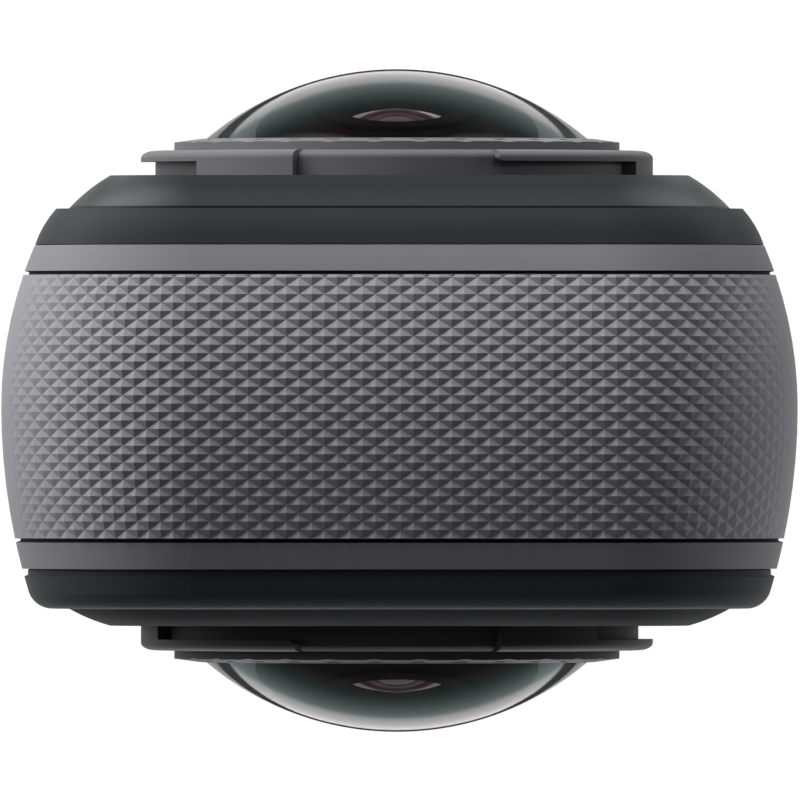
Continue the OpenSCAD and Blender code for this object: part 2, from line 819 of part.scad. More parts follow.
// What the rounding takes off the rear cover's edge
module rear_rounding() {
  from = rear_tilt - crease;
  to = 90 + crease;
  reach = 3 * rear_edge_r;
  translate([rear_round_x, rear_round_z]) difference() {
    polygon([[0, 0], [reach * cos(from), reach * sin(from)], [reach, reach],
      [reach * cos(to), reach * sin(to)]]);
    circle(rear_edge_r);
  }
}

module rear_profile() {
  difference() {
    polygon(concat([[-bulge(neck_z0) - neck_d, neck_z0], [-bulge(neck_z0) - neck_d, rear_side_z]],
      side_points(rear_side_z, rear_face_z),
      [[-skirt_in - over, rear_face_z], [-skirt_in - over, rear_wall_z], [-skirt_in, rear_wall_z],
      [-skirt_in, rear_skirt_z], [-skirt_out, rear_skirt_z], [-skirt_out, neck_z0]]));
    rear_rounding();
  }
}

module rear_cover() {
  color([0.06, 0.06, 0.07]) stand() difference() {
    union() {
      ring_sweep() rear_profile();
      translate([0, 0, rear_wall_z]) linear_extrude(rear_wall) outline(skirt_out + skirt_t / 2);
    }
    ring_sweep() gasket_profile(frame_z1 - skirt_d / 2, 0);
    translate([lens_shift, lens_y, rear_wall_z - over]) cylinder(r = tube_r + seam, h = rear_wall + 2 * over);
    translate([0, screen_y, glass_z]) linear_extrude(screen_t + over)
      round_rect(screen_w + 2 * seam, screen_h + 2 * seam, screen_r + seam);
    translate([0, screen_y, rear_wall_z - over]) linear_extrude(rear_wall + 2 * over)
      round_rect(screen_w - 2 * screen_ledge, screen_h - 2 * screen_ledge, screen_r - screen_ledge);
    for (s = [-1, 1]) {
      translate([s * key_spacing / 2, key_y, rear_wall_z - over])
        cylinder(r = key_r + play, h = rear_wall + 2 * over);
    }
  }
}

module front_seal() {
  color([0.1, 0.1, 0.1]) stand() ring_sweep() gasket_profile(frame_z0 + skirt_d / 2, gasket_gap);
}

module rear_seal() {
  color([0.1, 0.1, 0.1]) stand() ring_sweep() gasket_profile(frame_z1 - skirt_d / 2, gasket_gap);
}

// Lenses, each drawn toward +z about its own axis

module at_rear() {
  stand() translate([lens_shift, lens_y, 0]) children();
}

module at_front() {
  stand() translate([lens_shift, lens_y, 0]) rotate([0, 180, 0]) children();
}

module plate_profile(h) {
  chord = sqrt(plate_slope * plate_slope + h * h);
  depth = sqrt(plate_curve * plate_curve - chord * chord / 4);
  intersection() {
    translate([-plate_slope - over, 0]) square([plate_slope + 2 * over, h]);
    translate([-plate_slope / 2 - depth * h / chord, h / 2 - depth * plate_slope / chord])
      circle(plate_curve);
  }
}

module lens_plate(foot) {
  h = plate_face - foot;
  inset = plate_slope + over / 2;
  difference() {
    translate([0, plate_y, foot]) union() {
      rect_sweep(plate_w, plate_h, plate_r) plate_profile(h);
      linear_extrude(h) round_rect(plate_w - 2 * inset, plate_h - 2 * inset, plate_r - inset);
    }
    translate([lens_shift, lens_y, foot - over]) cylinder(r = tube_r + seam, h = h + 2 * over);
  }
}

module front_lens_plate() {
  color([0.16, 0.16, 0.17]) stand() mirror([0, 0, 1]) lens_plate(-front_face_z);
}

module rear_lens_plate() {
  color([0.16, 0.16, 0.17]) stand() lens_plate(rear_face_z);
}

// Rounded upper edge from radius r at the lug's top
function lug_points(r) = [for (i = [0:edge_steps])
  let(a = 90 * i / edge_steps) [r - 2 * lug_edge * (1 - cos(a)), lug_top - lug_edge * (1 - sin(a))]];

// The same edge at the wall of an entry gap, run on past the top
gap_end = 2 * lug_points(neck_r)[edge_steps] - lug_points(neck_r)[edge_steps - 1];
gap_points = concat([for (i = [0:edge_steps - 1]) lug_points(neck_r)[i]], [gap_end]);

module entry_rounding() {
  depth = lug_r - neck_r + undercut_relief / 2 + over;
  difference() {
    rotate(gap_half - lead_in / 2) rotate_extrude(angle = entry_end - gap_half + lead_in / 2)
      translate([neck_r - undercut_relief / 2, lug_z - over]) square([depth, entry_r + over]);
    rotate(entry_end) translate([neck_r - over, 0, lug_z + entry_r - seam])
      rotate([0, 90, 0]) cylinder(r = entry_r, h = depth + 2 * over);
  }
}

module bayonet_ring() {
  rotate(lug_start - gap_half) difference() {
    union() {
      translate([0, 0, sleeve_z]) cylinder(r = tube_r, h = plate_face - sleeve_z + lug_t);
      rotate_extrude() polygon(concat([[ring_in, plate_face], [lug_r, plate_face]],
        lug_points(lug_r), [[ring_in, lug_top]]));
    }
    for (k = [0:lug_count - 1]) {
      rotate(k * 360 / lug_count) {
        rotate(-gap_half) rotate_extrude(angle = 2 * gap_half)
          polygon(concat([[lug_r + over, plate_face - over], [neck_r, plate_face - over]],
          gap_points, [[gap_end[0], lug_top + over], [lug_r + over, lug_top + over]]));
        rotate(gap_half - lead_in) rotate_extrude(angle = lead_in + lug_span - stop_span)
          translate([neck_r - undercut_relief, plate_face - over])
          square([lug_r - neck_r + undercut_relief + over, undercut_h + over]);
        entry_rounding();
      }
    }
    translate([0, 0, sleeve_z - over]) cylinder(r = throat_r, h = lug_top);
    translate([0, 0, flange_low - seam]) cylinder(r = bore_r, h = lug_top);
  }
}

module lens_bezel() {
  difference() {
    rotate_extrude() polygon([[collar_in, flange_top + seam], [collar_r, flange_top + seam],
      [collar_r, lug_top], [bezel_r, lug_top], [bezel_r, bezel_top - bezel_fall],
      [lip_r + bezel_flat, bezel_top], [lip_r, bezel_top], [collar_in, rim_top + seam]]);
    for (i = [0:scallop_count - 1]) {
      rotate(i * 360 / scallop_count)
        translate([bezel_r, 0, bezel_top - bezel_fall]) rotate([0, bezel_tilt, 0])
        translate([-scallop_in, 0, scallop_r - scallop_d])
        rotate([0, 90, 0]) cylinder(r = scallop_r, h = scallop_in + over);
    }
  }
}

module dome_lens() {
  difference() {
    intersection() {
      translate([0, 0, dome_z]) sphere(dome_r);
      union() {
        translate([0, 0, rim_low]) cylinder(r = rim_r, h = dome_r);
        translate([0, 0, foot_z]) cylinder(r = foot_r, h = dome_r);
      }
    }
    rotate_extrude() translate([second_r, foot_z - over])
      square([hood_r - second_r + seam, hood_h + seam + over]);
    translate([0, 0, second_z]) sphere(second_curve + seam);
  }
}

module lens_seal() {
  rotate_extrude() translate([rim_r - lens_seal_d / 2, rim_low - seam - lens_seal_d / 2])
    circle(lens_seal_d / 2);
}

module lens_barrel() {
  tube = relay_r + barrel_wall;
  relay_top = relay_z + relay_l / 2 + seam;
  rotate_extrude() polygon([[bore_r - seam, flange_low], [bore_r - seam, flange_top],
    [foot_r + seam, flange_top], [foot_r + seam, foot_z - seam], [hood_r, foot_z - seam],
    [hood_r, hood_top - hood_chamfer], [hood_r - hood_chamfer, hood_top],
    [second_r + seam, hood_top], [second_r + seam, second_low - seam],
    [second_r - second_ledge, second_low - seam], [relay_r - relay_ledge, relay_top],
    [relay_r + seam, relay_top], [relay_r + seam, barrel_low], [tube, barrel_low], [tube, flange_low]]);
}

module second_lens() {
  intersection() {
    translate([0, 0, second_z]) sphere(second_curve);
    translate([0, 0, second_low]) cylinder(r = second_r, h = second_h);
  }
}

module relay_lens() {
  intersection() {
    translate([0, 0, relay_z + relay_l / 2 - relay_curve]) sphere(relay_curve);
    translate([0, 0, relay_z - relay_l / 2 + relay_curve]) sphere(relay_curve);
    translate([0, 0, relay_z - relay_l]) cylinder(r = relay_r, h = 2 * relay_l);
  }
}

module image_sensor() {
  difference() {
    translate([0, 0, sensor_z]) linear_extrude(sensor_h) round_rect(sensor_l, sensor_w, 0.4);
    translate([0, 0, sensor_z + sensor_h - 0.2]) linear_extrude(over)
      round_rect(sensor_l - 2, sensor_w - 2, 0.2);
  }
}

module sensor_board() {
  translate([0, 0, sensor_board_z]) linear_extrude(sensor_board_t) difference() {
    circle(cup_in - seam);
    for (s = [-1, 1]) {
      translate([s * (cup_in + 0.4), 0]) square([2.4, 6], center = true);
    }
  }
}

module front_bayonet_ring() {
  color([0.2, 0.2, 0.21]) at_front() bayonet_ring();
}

module rear_bayonet_ring() {
  color([0.2, 0.2, 0.21]) at_rear() bayonet_ring();
}

module front_lens_bezel() {
  color([0.24, 0.24, 0.25]) at_front() lens_bezel();
}

module rear_lens_bezel() {
  color([0.24, 0.24, 0.25]) at_rear() lens_bezel();
}

module front_dome_lens() {
  color([0.55, 0.6, 0.62, 0.5]) at_front() dome_lens();
}

module rear_dome_lens() {
  color([0.55, 0.6, 0.62, 0.5]) at_rear() dome_lens();
}

module front_lens_seal() {
  color([0.08, 0.08, 0.08]) at_front() lens_seal();
}

module rear_lens_seal() {
  color([0.08, 0.08, 0.08]) at_rear() lens_seal();
}

module front_lens_barrel() {
  color([0.04, 0.04, 0.04]) at_front() lens_barrel();
}

module rear_lens_barrel() {
  color([0.04, 0.04, 0.04]) at_rear() lens_barrel();
}

module front_second_lens() {
  color([0.5, 0.3, 0.32]) at_front() second_lens();
}

module rear_second_lens() {
  color([0.5, 0.3, 0.32]) at_rear() second_lens();
}

module front_relay_lens() {
  color([0.4, 0.45, 0.5]) at_front() relay_lens();
}

module rear_relay_lens() {
  color([0.4, 0.45, 0.5]) at_rear() relay_lens();
}

module front_image_sensor() {
  color([0.2, 0.22, 0.3]) at_front() image_sensor();
}

module rear_image_sensor() {
  color([0.2, 0.22, 0.3]) at_rear() image_sensor();
}

module front_sensor_board() {
  color([0.05, 0.25, 0.15]) at_front() sensor_board();
}

module rear_sensor_board() {
  color([0.05, 0.25, 0.15]) at_rear() sensor_board();
}

module lens_bracket() {
  color([0.5, 0.5, 0.52]) stand() {
    for (s = [-1, 1]) {
      translate([lens_shift, lens_y, 0]) rotate([0, s > 0 ? 0 : 180, 0]) rotate_extrude()
        translate([cup_in, 0]) square([cup_wall, cup_l]);
    }
    translate([lens_shift, lens_y, -bracket_t / 2]) cylinder(r = cup_in + cup_wall / 2, h = bracket_t);
    for (s = [-1, 1]) {
      translate([s > 0 ? cup_in + lens_shift : -inner_x + seam, lens_y - bracket_arm / 2, -bracket_t / 2])
        cube([inner_x - seam - cup_in - s * lens_shift, bracket_arm, bracket_t]);
    }
  }
}

// Screen and keys

module screen_glass() {
  color([0.03, 0.03, 0.04]) stand() translate([0, screen_y, glass_z])
    linear_extrude(screen_t - seam) round_rect(screen_w, screen_h, screen_r);
}

module display_panel() {
  color([0.1, 0.1, 0.12]) stand() translate([0, screen_y, panel_top - panel_t]) linear_extrude(panel_t)
    round_rect(panel_w, panel_h, screen_r - screen_ledge);
}

module key_cap() {
  difference() {
    union() {
      translate([0, 0, key_flange_low]) cylinder(r = key_flange_r, h = key_flange);
      translate([0, 0, key_flange_low]) cylinder(r = key_r, h = key_top - key_chamfer - key_flange_low);
      translate([0, 0, key_top - key_chamfer])
        cylinder(r1 = key_r, r2 = key_r - key_chamfer, h = key_chamfer);
      translate([0, 0, stem_low]) cylinder(r = stem_r, h = key_flange_top - stem_low);
    }
    translate([0, 0, key_top - key_dish_d + key_dish_r]) sphere(key_dish_r);
  }
}

module shutter_button() {
  color([0.5, 0.08, 0.08]) stand() translate([-key_spacing / 2, key_y, 0]) key_cap();
}

module mode_button() {
  color([0.1, 0.1, 0.11]) stand() translate([key_spacing / 2, key_y, 0]) key_cap();
}

module side_key(y) {
  intersection() {
    side_run(1, y - side_key_l, y + side_key_l) band_profile(grip_z0, grip_z1, side_key_skin);
    along_x(half_w - grip_t - over, half_w + over) translate([y, band_z]) stadium(side_key_l, side_key_w);
  }
  along_x(half_w - side_flange_in - side_flange_t, half_w - side_flange_in)
    translate([y, band_z]) stadium(side_key_l + 2 * side_lip, side_key_w + 2 * side_lip);
  along_x(half_w - side_flange_in, half_w - grip_t + over / 2)
    translate([y, band_z]) stadium(side_key_l, side_key_w);
  along_x(side_stem_x, half_w - side_flange_in - side_flange_t / 2) translate([y, band_z]) circle(stem_r);
}

module power_button() {
  color([0.14, 0.14, 0.15]) stand() side_key(power_y);
}

module quick_button() {
  color([0.14, 0.14, 0.15]) stand() side_key(quick_y);
}

module tact_switches() {
  color([0.7, 0.7, 0.66]) stand() {
    for (s = [-1, 1]) {
      translate([s * key_spacing / 2, key_y, board_top + seam]) {
        linear_extrude(switch_t / 2) round_rect(switch_w, switch_w, 0.3);
        cylinder(r = nub_r, h = switch_t - seam);
      }
    }
    for (y = [power_y, quick_y]) {
      along_x(side_switch_x - nub_l - side_switch_t, side_switch_x - nub_l)
        translate([y, side_switch_z]) round_rect(switch_w, usb_w, 0.3);
      along_x(side_switch_x - side_switch_t, side_switch_x) translate([y, side_switch_z]) circle(nub_r);
    }
  }
}

// Boards

module main_board() {
  color([0.04, 0.2, 0.12]) stand() difference() {
    union() {
      translate([0, board_y, board_z]) linear_extrude(board_t) round_rect(2 * board_half, board_h, 1.5);
      translate([0, can_y, board_z]) linear_extrude(board_t + can_h) round_rect(can_w, can_l, 1);
      translate([0, small_can_y, board_z]) linear_extrude(board_t + can_h)
        round_rect(small_can_w, small_can_l, 1);
    }
    for (x = screw_xs) {
      for (y = screw_ys) {
        translate([x, y, board_z - over]) cylinder(r = screw_r + seam, h = board_t + 2 * over);
      }
    }
    for (s = [-1, 1]) {
      translate([s * board_half, board_low, board_z - over]) linear_extrude(board_t + 2 * over)
        round_rect(5, 5, 1);
    }
  }
}

module board_screws() {
  color([0.6, 0.6, 0.6]) stand() for (x = screw_xs) {
    for (y = screw_ys) {
      translate([x, y, 0]) difference() {
        union() {
          translate([0, 0, bay_rear + seam]) cylinder(r = screw_r, h = board_top - bay_rear);
          translate([0, 0, board_top + seam]) cylinder(r = screw_head_r, h = screw_head_t);
        }
        translate([0, 0, board_top + seam + screw_head_t / 2])
          cylinder(r = screw_head_r / 2, h = screw_head_t, $fn = 6);
      }
    }
  }
}

module side_board() {
  color([0.04, 0.2, 0.12]) stand() translate([side_board_x, side_board_low, side_board_z])
    linear_extrude(board_t) difference() {
      square([side_board_w, side_board_high - side_board_low]);
      for (y = [0, side_board_high - side_board_low]) {
        translate([side_board_w, y]) circle(1.5);
      }
    }
}

module heat_spreader() {
  color([0.75, 0.5, 0.35]) stand()
    translate([bay_end - spreader_gap - spreader_w / 2, bay_y, bay_front - seam - spreader_t])
    linear_extrude(spreader_t) round_rect(spreader_w, spreader_h, 2);
}

// Battery

module battery_bay() {
  color([0.2, 0.2, 0.21]) stand() difference() {
    union() {
      along_x(bay_x0, bay_end) translate([bay_y, bat_z])
        round_rect(bay_h + 2 * bay_wall, bay_w + 2 * bay_wall, bat_r);
      along_x(bay_x0, bay_x0 + bay_flange) translate([bay_y, bat_z])
        round_rect(win_h + 2 * bay_margin, win_w + 2 * bay_margin, door_r);
      for (x = screw_xs) {
        for (y = screw_ys) {
          translate([x, y, bay_rear - bay_wall]) cylinder(r = boss_r, h = bay_wall + board_stand - seam);
        }
      }
      for (y = [usb_y, power_y]) {
        translate([bay_end - bay_wall, y - ledge_w / 2, side_board_z - seam - ledge_t])
          cube([ledge_w + bay_wall, ledge_w, ledge_t]);
      }
    }
    along_x(bay_x0 - over, bay_x1) translate([bay_y, bat_z]) round_rect(bay_h, bay_w, bat_r - bay_wall);
    for (x = screw_xs) {
      for (y = screw_ys) {
        translate([x, y, bay_rear]) cylinder(r = screw_r + seam, h = board_stand + over);
      }
    }
  }
}

module battery_contacts() {
  color([0.8, 0.65, 0.3]) stand() for (i = [-1.5:1:1.5]) {
    along_x(bat_end + 2 * seam, bay_x1 - seam)
      translate([bat_y + i * contact_pitch, bat_z]) round_rect(contact_w, contact_h, 0.5);
  }
}

module battery_pack() {
  color([0.16, 0.16, 0.17]) stand() difference() {
    along_x(bat_x, bat_end) translate([bat_y, bat_z]) round_rect(bat_h, bat_t, bat_r);
    for (i = [-1.5:1:1.5]) {
      along_x(bat_end - 0.3, bat_end + over)
        translate([bat_y + i * contact_pitch, bat_z])
        round_rect(contact_w + 2 * play, contact_h + 2 * play, 0.5);
    }
  }
}

module battery_door() {
  color([0.2, 0.2, 0.21]) stand() difference() {
    intersection() {
      side_run(-1, bay_y - door_h, bay_y + door_h) band_profile(grip_z0, grip_z1, door_skin);
      along_x(-half_w - over, -half_w + grip_t + over) translate([bay_y, bat_z])
        round_rect(door_h, door_w, door_r);
    }
    along_x(-half_w - over, -half_w + latch_d) translate([latch_y + (latch_l + latch_travel) / 2, bat_z])
      round_rect(latch_l + latch_travel + 2 * play, latch_w + 2 * play, 1);
  }
}

module battery_door_seal() {
  color([0.1, 0.1, 0.1]) stand() along_x(bat_x, bat_x + door_seal_d) translate([bay_y, bat_z])
    ring_rect(win_h - 2 * play, win_w - 2 * play, win_r - play, door_seal_w);
}

module battery_latch() {
  color([0.55, 0.12, 0.1]) stand() difference() {
    intersection() {
      side_run(-1, latch_y, latch_y + latch_l) band_profile(grip_z0, grip_z1, latch_skin);
      along_x(-half_w - over, -half_w + latch_d - 2 * seam) translate([latch_y + latch_l / 2, bat_z])
        round_rect(latch_l, latch_w, 0.8);
    }
    for (i = [-1:1]) {
      translate([-half_w, latch_y + latch_l / 2 + i * latch_rib, bat_z])
        cube([latch_d, latch_rib / 2, latch_w / 1.5], center = true);
    }
  }
}

module card_slot() {
  color([0.65, 0.65, 0.66]) stand() difference() {
    translate([slot_x, slot_y - card_w / 2 - slot_wall, slot_z])
      cube([card_l, card_w + 2 * slot_wall, slot_t]);
    translate([slot_x - over, slot_y - card_w / 2 - seam, slot_z + slot_wall - seam])
      cube([card_l + over - slot_wall, card_w + 2 * seam, card_t + 2 * seam]);
  }
}

module memory_card() {
  color([0.1, 0.1, 0.12]) stand() difference() {
    translate([slot_x - card_proud + card_l / 2, slot_y, slot_z + slot_wall]) linear_extrude(card_t)
      round_rect(card_l, card_w, 0.6);
    translate([slot_x + card_l / 2, slot_y + card_w / 2 - 1, slot_z]) cube([card_l, 2, slot_t]);
  }
}

// Connector and its door

module usb_socket() {
  color([0.7, 0.7, 0.72]) stand() {
    difference() {
      along_x(usb_x - usb_d, usb_x) translate([usb_y, band_z]) stadium(usb_l, usb_w);
      along_x(usb_x - usb_d + usb_back_wall, usb_x + over) translate([usb_y, band_z])
        stadium(usb_l - 2 * usb_wall, usb_w - 2 * usb_wall);
    }
    along_x(usb_x - usb_d + usb_back_wall / 2, usb_x - 1) translate([usb_y, band_z])
      square([tongue_w, tongue_t], center = true);
  }
}

module usb_door() {
  color([0.2, 0.2, 0.21]) stand() difference() {
    union() {
      intersection() {
        side_run(1, usb_y - usb_door_l / 2, usb_y + usb_door_l / 2) band_profile(hinge_z, grip_z1, usb_skin);
        along_x(half_w - usb_back, half_w + over) translate([usb_y, band_z])
          round_rect(usb_door_l, usb_door_w, usb_corner);
      }
      along_y(usb_y - usb_door_l / 2, usb_y + usb_door_l / 2) translate([hinge_x, hinge_z]) circle(knuckle_r);
    }
    along_y(usb_y - usb_door_l, usb_y + usb_door_l) translate([hinge_x, hinge_z]) circle(pin_r + pin_play);
    translate([half_w - bulge(free_z) - usb_skin - nick_d + nick_r, usb_y, free_z]) sphere(nick_r);
  }
}

module usb_hinge_pin() {
  reach = usb_door_l / 2 + play + pin_hold;
  color([0.7, 0.7, 0.7]) stand() along_y(usb_y - reach, usb_y + reach)
    translate([hinge_x, hinge_z]) circle(pin_r);
}

module usb_door_seal() {
  color([0.1, 0.1, 0.1]) stand() along_x(half_w - channel_in - usb_seal_d, half_w - usb_back - seam)
    translate([usb_y, band_z])
    ring_rect(usb_win_l - 2 * play, usb_win_w - 2 * play, usb_win_r - play, usb_seal_w);
}

// Sound and light

module speaker() {
  color([0.08, 0.08, 0.09]) stand() difference() {
    translate([speaker_x, speaker_y, front_wall_z + seam]) linear_extrude(speaker_t)
      round_rect(speaker_l, speaker_w, 1.5);
    translate([speaker_x, speaker_y, front_wall_z]) linear_extrude(0.5)
      round_rect(speaker_l - 2, speaker_w - 2, 1);
  }
}

module microphone() {
  color([0.7, 0.6, 0.35]) stand() difference() {
    translate([0, mic_y, front_wall_z + seam]) linear_extrude(mic_h) round_rect(mic_l, mic_depth, 0.3);
    translate([0, mic_y, front_wall_z]) cylinder(r = mic_w / 4, h = mic_h / 2);
  }
}

module mic_guard() {
  color([0.3, 0.3, 0.31]) stand() difference() {
    translate([0, mic_y, front_face_z + seam]) linear_extrude(guard_t) stadium(mic_l, mic_w);
    for (i = [-2:2]) {
      translate([i * guard_pitch, mic_y, front_face_z - over]) cylinder(r = guard_hole_r, h = 3 * over);
    }
  }
}

module status_led() {
  color([0.85, 0.9, 0.95]) stand() {
    translate([0, led_y, front_face_z + seam]) cylinder(r = led_r, h = front_wall + led_flange);
    translate([0, led_y, front_wall_z + seam]) cylinder(r = led_r + led_flange, h = led_flange);
  }
}

mid_frame();
grip_band();
base_cap();
tripod_insert();
base_magnets();
front_cover();
rear_cover();
front_seal();
rear_seal();
front_lens_plate();
rear_lens_plate();
front_bayonet_ring();
rear_bayonet_ring();
front_lens_bezel();
rear_lens_bezel();
front_dome_lens();
rear_dome_lens();
front_lens_seal();
rear_lens_seal();
front_lens_barrel();
rear_lens_barrel();
front_second_lens();
rear_second_lens();
front_relay_lens();
rear_relay_lens();
front_image_sensor();
rear_image_sensor();
front_sensor_board();
rear_sensor_board();
lens_bracket();
screen_glass();
display_panel();
shutter_button();
mode_button();
power_button();
quick_button();
tact_switches();
main_board();
board_screws();
side_board();
battery_bay();
battery_contacts();
battery_pack();
battery_door();
battery_door_seal();
battery_latch();
card_slot();
memory_card();
usb_socket();
usb_door();
usb_hinge_pin();
usb_door_seal();
heat_spreader();
speaker();
microphone();
mic_guard();
status_led();
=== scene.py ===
import json
import math
import bmesh
import bpy
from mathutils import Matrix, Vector


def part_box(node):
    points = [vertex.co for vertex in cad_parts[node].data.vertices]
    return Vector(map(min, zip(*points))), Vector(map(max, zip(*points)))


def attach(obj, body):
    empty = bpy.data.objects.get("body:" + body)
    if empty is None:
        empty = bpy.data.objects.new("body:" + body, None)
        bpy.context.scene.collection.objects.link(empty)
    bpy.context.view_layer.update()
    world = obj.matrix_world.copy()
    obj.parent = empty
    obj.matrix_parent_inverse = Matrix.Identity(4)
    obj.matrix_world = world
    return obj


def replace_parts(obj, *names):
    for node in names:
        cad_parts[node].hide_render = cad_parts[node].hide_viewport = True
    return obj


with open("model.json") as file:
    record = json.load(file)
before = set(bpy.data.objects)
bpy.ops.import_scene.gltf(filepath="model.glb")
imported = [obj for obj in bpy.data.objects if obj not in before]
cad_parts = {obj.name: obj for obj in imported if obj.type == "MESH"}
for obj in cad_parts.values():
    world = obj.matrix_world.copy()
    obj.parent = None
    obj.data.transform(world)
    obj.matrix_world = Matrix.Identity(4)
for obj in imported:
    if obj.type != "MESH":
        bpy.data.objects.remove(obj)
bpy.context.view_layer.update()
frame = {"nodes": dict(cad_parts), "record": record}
NODES = frame["nodes"]
MM = 0.001
BODY = "camera_body"

# Sizes repeated from the part, in millimetres
HALF_W, BODY_H, CORNER_R = 23.0, 124.5, 11.0
FLAT = HALF_W - CORNER_R
BULGE_Z, FRONT_BULGE_R, REAR_BULGE_R = 0.4, 23.6, 36.4
PLATE_FOOT = 11.08
GRIP_FRONT, GRIP_REAR, CHANNEL_W = -7.26, 7.96, 0.22
LENS_X, LENS_Z = -0.15, 101.5
DOME_R, DOME_APEX, DOME_RIM_R = 17.1912, 19.24, 11.48
DOME_RIM_LOW, DOME_FOOT_R, DOME_FOOT_Z = 12.645, 10.5, 11.595
HOOD_R, HOOD_H, SEAM = 3.4, 1.5, 0.05
SECOND_R, SECOND_CURVE, SECOND_TOP = 2.55, 3.0, 12.495
THREAD_R, THREAD_MAJOR, THREAD_PITCH, THREAD_LOW, THREAD_HIGH = 2.55, 3.175, 1.27, 0.15, 6.35
INSERT_R, INSERT_FLANGE_R, INSERT_FLANGE_T, INSERT_SEAT = 4.2, 5.4, 1.2, 2.9


# ---------------------------------------------------------------- shader nodes

def coords(nt, stretch=(1, 1, 1)):
    """Object coordinates in millimetres."""
    tc = nt.nodes.new("ShaderNodeTexCoord")
    mp = nt.nodes.new("ShaderNodeMapping")
    mp.inputs["Scale"].default_value = [1000 * s for s in stretch]
    nt.links.new(tc.outputs["Object"], mp.inputs["Vector"])
    return mp.outputs["Vector"]


def split(nt, vec):
    """The X, Y and Z outputs of a vector."""
    sep = nt.nodes.new("ShaderNodeSeparateXYZ")
    nt.links.new(vec, sep.inputs[0])
    return sep.outputs


def compute(nt, operation, *values):
    """A math node on sockets and plain numbers."""
    n = nt.nodes.new("ShaderNodeMath")
    n.operation = operation
    for i, v in enumerate(values):
        if isinstance(v, float):
            n.inputs[i].default_value = v
        else:
            nt.links.new(v, n.inputs[i])
    return n.outputs[0]


def noise(nt, vec, scale, detail, rough=0.55):
    n = nt.nodes.new("ShaderNodeTexNoise")
    n.inputs["Scale"].default_value = scale
    n.inputs["Detail"].default_value = detail
    n.inputs["Roughness"].default_value = rough
    nt.links.new(vec, n.inputs["Vector"])
    return n.outputs["Fac"]


def ramp(nt, fac, stops):
    r = nt.nodes.new("ShaderNodeValToRGB")
    first, last = r.color_ramp.elements
    first.position, first.color = stops[0][0], (*stops[0][1], 1)
    last.position, last.color = stops[-1][0], (*stops[-1][1], 1)
    for pos, col in stops[1:-1]:
        r.color_ramp.elements.new(pos).color = (*col, 1)
    nt.links.new(fac, r.inputs["Fac"])
    return r.outputs["Color"]


def map_range(nt, fac, lo, hi, to_lo=0.0, to_hi=1.0):
    n = nt.nodes.new("ShaderNodeMapRange")
    for key, v in (("From Min", lo), ("From Max", hi), ("To Min", to_lo), ("To Max", to_hi)):
        n.inputs[key].default_value = v
    nt.links.new(fac, n.inputs["Value"])
    return n.outputs["Result"]


def mix(nt, fac, a, b):
    n = nt.nodes.new("ShaderNodeMixShader")
    for i, socket in enumerate((fac, a, b)):
        nt.links.new(socket, n.inputs[i])
    return n.outputs[0]


# ---------------------------------------------------------------- materials

GRAIN_DETAIL, GRAIN_ROUGH, GRAIN_STRENGTH = 4.0, 0.6, 0.35
DRIFT_SCALE, DRIFT_DETAIL, GLOSS_DRIFT = 0.09, 2.0, 0.05
SMUDGE_SCALE, SMUDGE_DETAIL = 0.6, 4.0
# The stretch of each noise's values that is used
TONE_LOW, TONE_HIGH, GLOSS_RANGE, SMUDGE_RANGE = 0.3, 0.7, (0.25, 0.75), (0.5, 0.8)
SHEEN_ROUGH, SHEEN_TINT = 0.2, (1.0, 0.76, 0.75, 1)


def new_material(name):
    m = bpy.data.materials.new(name)
    m.use_nodes = True
    nt = m.node_tree
    nt.nodes.clear()
    out = nt.nodes.new("ShaderNodeOutputMaterial")
    bsdf = nt.nodes.new("ShaderNodeBsdfPrincipled")
    nt.links.new(bsdf.outputs[0], out.inputs[0])
    return m, nt, bsdf


def shade(c, f):
    return tuple(min(1.0, x * f) for x in c)


def moulded(name, color, rough, grain=7.0, depth=0.012, vary=0.05, spec=0.2, metal=0.0, stretch=(1, 1, 1),
            coat=0.0, coat_rough=0.15, tint=(1, 1, 1), sheen=0.0):
    """Moulded, painted or metal skin with a fine grain, depth in millimetres, and faint drift of tone and gloss."""
    m, nt, b = new_material(name)
    vec = coords(nt, stretch)
    fine = noise(nt, vec, grain, GRAIN_DETAIL, GRAIN_ROUGH)
    wide = noise(nt, vec, DRIFT_SCALE, DRIFT_DETAIL)
    tone = ramp(nt, wide, [(TONE_LOW, shade(color, 1 - vary)), (TONE_HIGH, shade(color, 1 + vary))])
    nt.links.new(tone, b.inputs["Base Color"])
    gloss = map_range(nt, fine, *GLOSS_RANGE, rough - GLOSS_DRIFT, rough + GLOSS_DRIFT)
    nt.links.new(gloss, b.inputs["Roughness"])
    bump = nt.nodes.new("ShaderNodeBump")
    bump.inputs["Strength"].default_value = GRAIN_STRENGTH
    bump.inputs["Distance"].default_value = depth * MM
    nt.links.new(fine, bump.inputs["Height"])
    nt.links.new(bump.outputs["Normal"], b.inputs["Normal"])
    b.inputs["Metallic"].default_value = metal
    b.inputs["Specular IOR Level"].default_value = spec
    b.inputs["Specular Tint"].default_value = (*tint, 1)
    if sheen:
        b.inputs["Sheen Weight"].default_value = sheen
        b.inputs["Sheen Roughness"].default_value = SHEEN_ROUGH
        b.inputs["Sheen Tint"].default_value = SHEEN_TINT
    if coat:
        b.inputs["Coat Weight"].default_value = coat
        b.inputs["Coat Roughness"].default_value = coat_rough
    return m


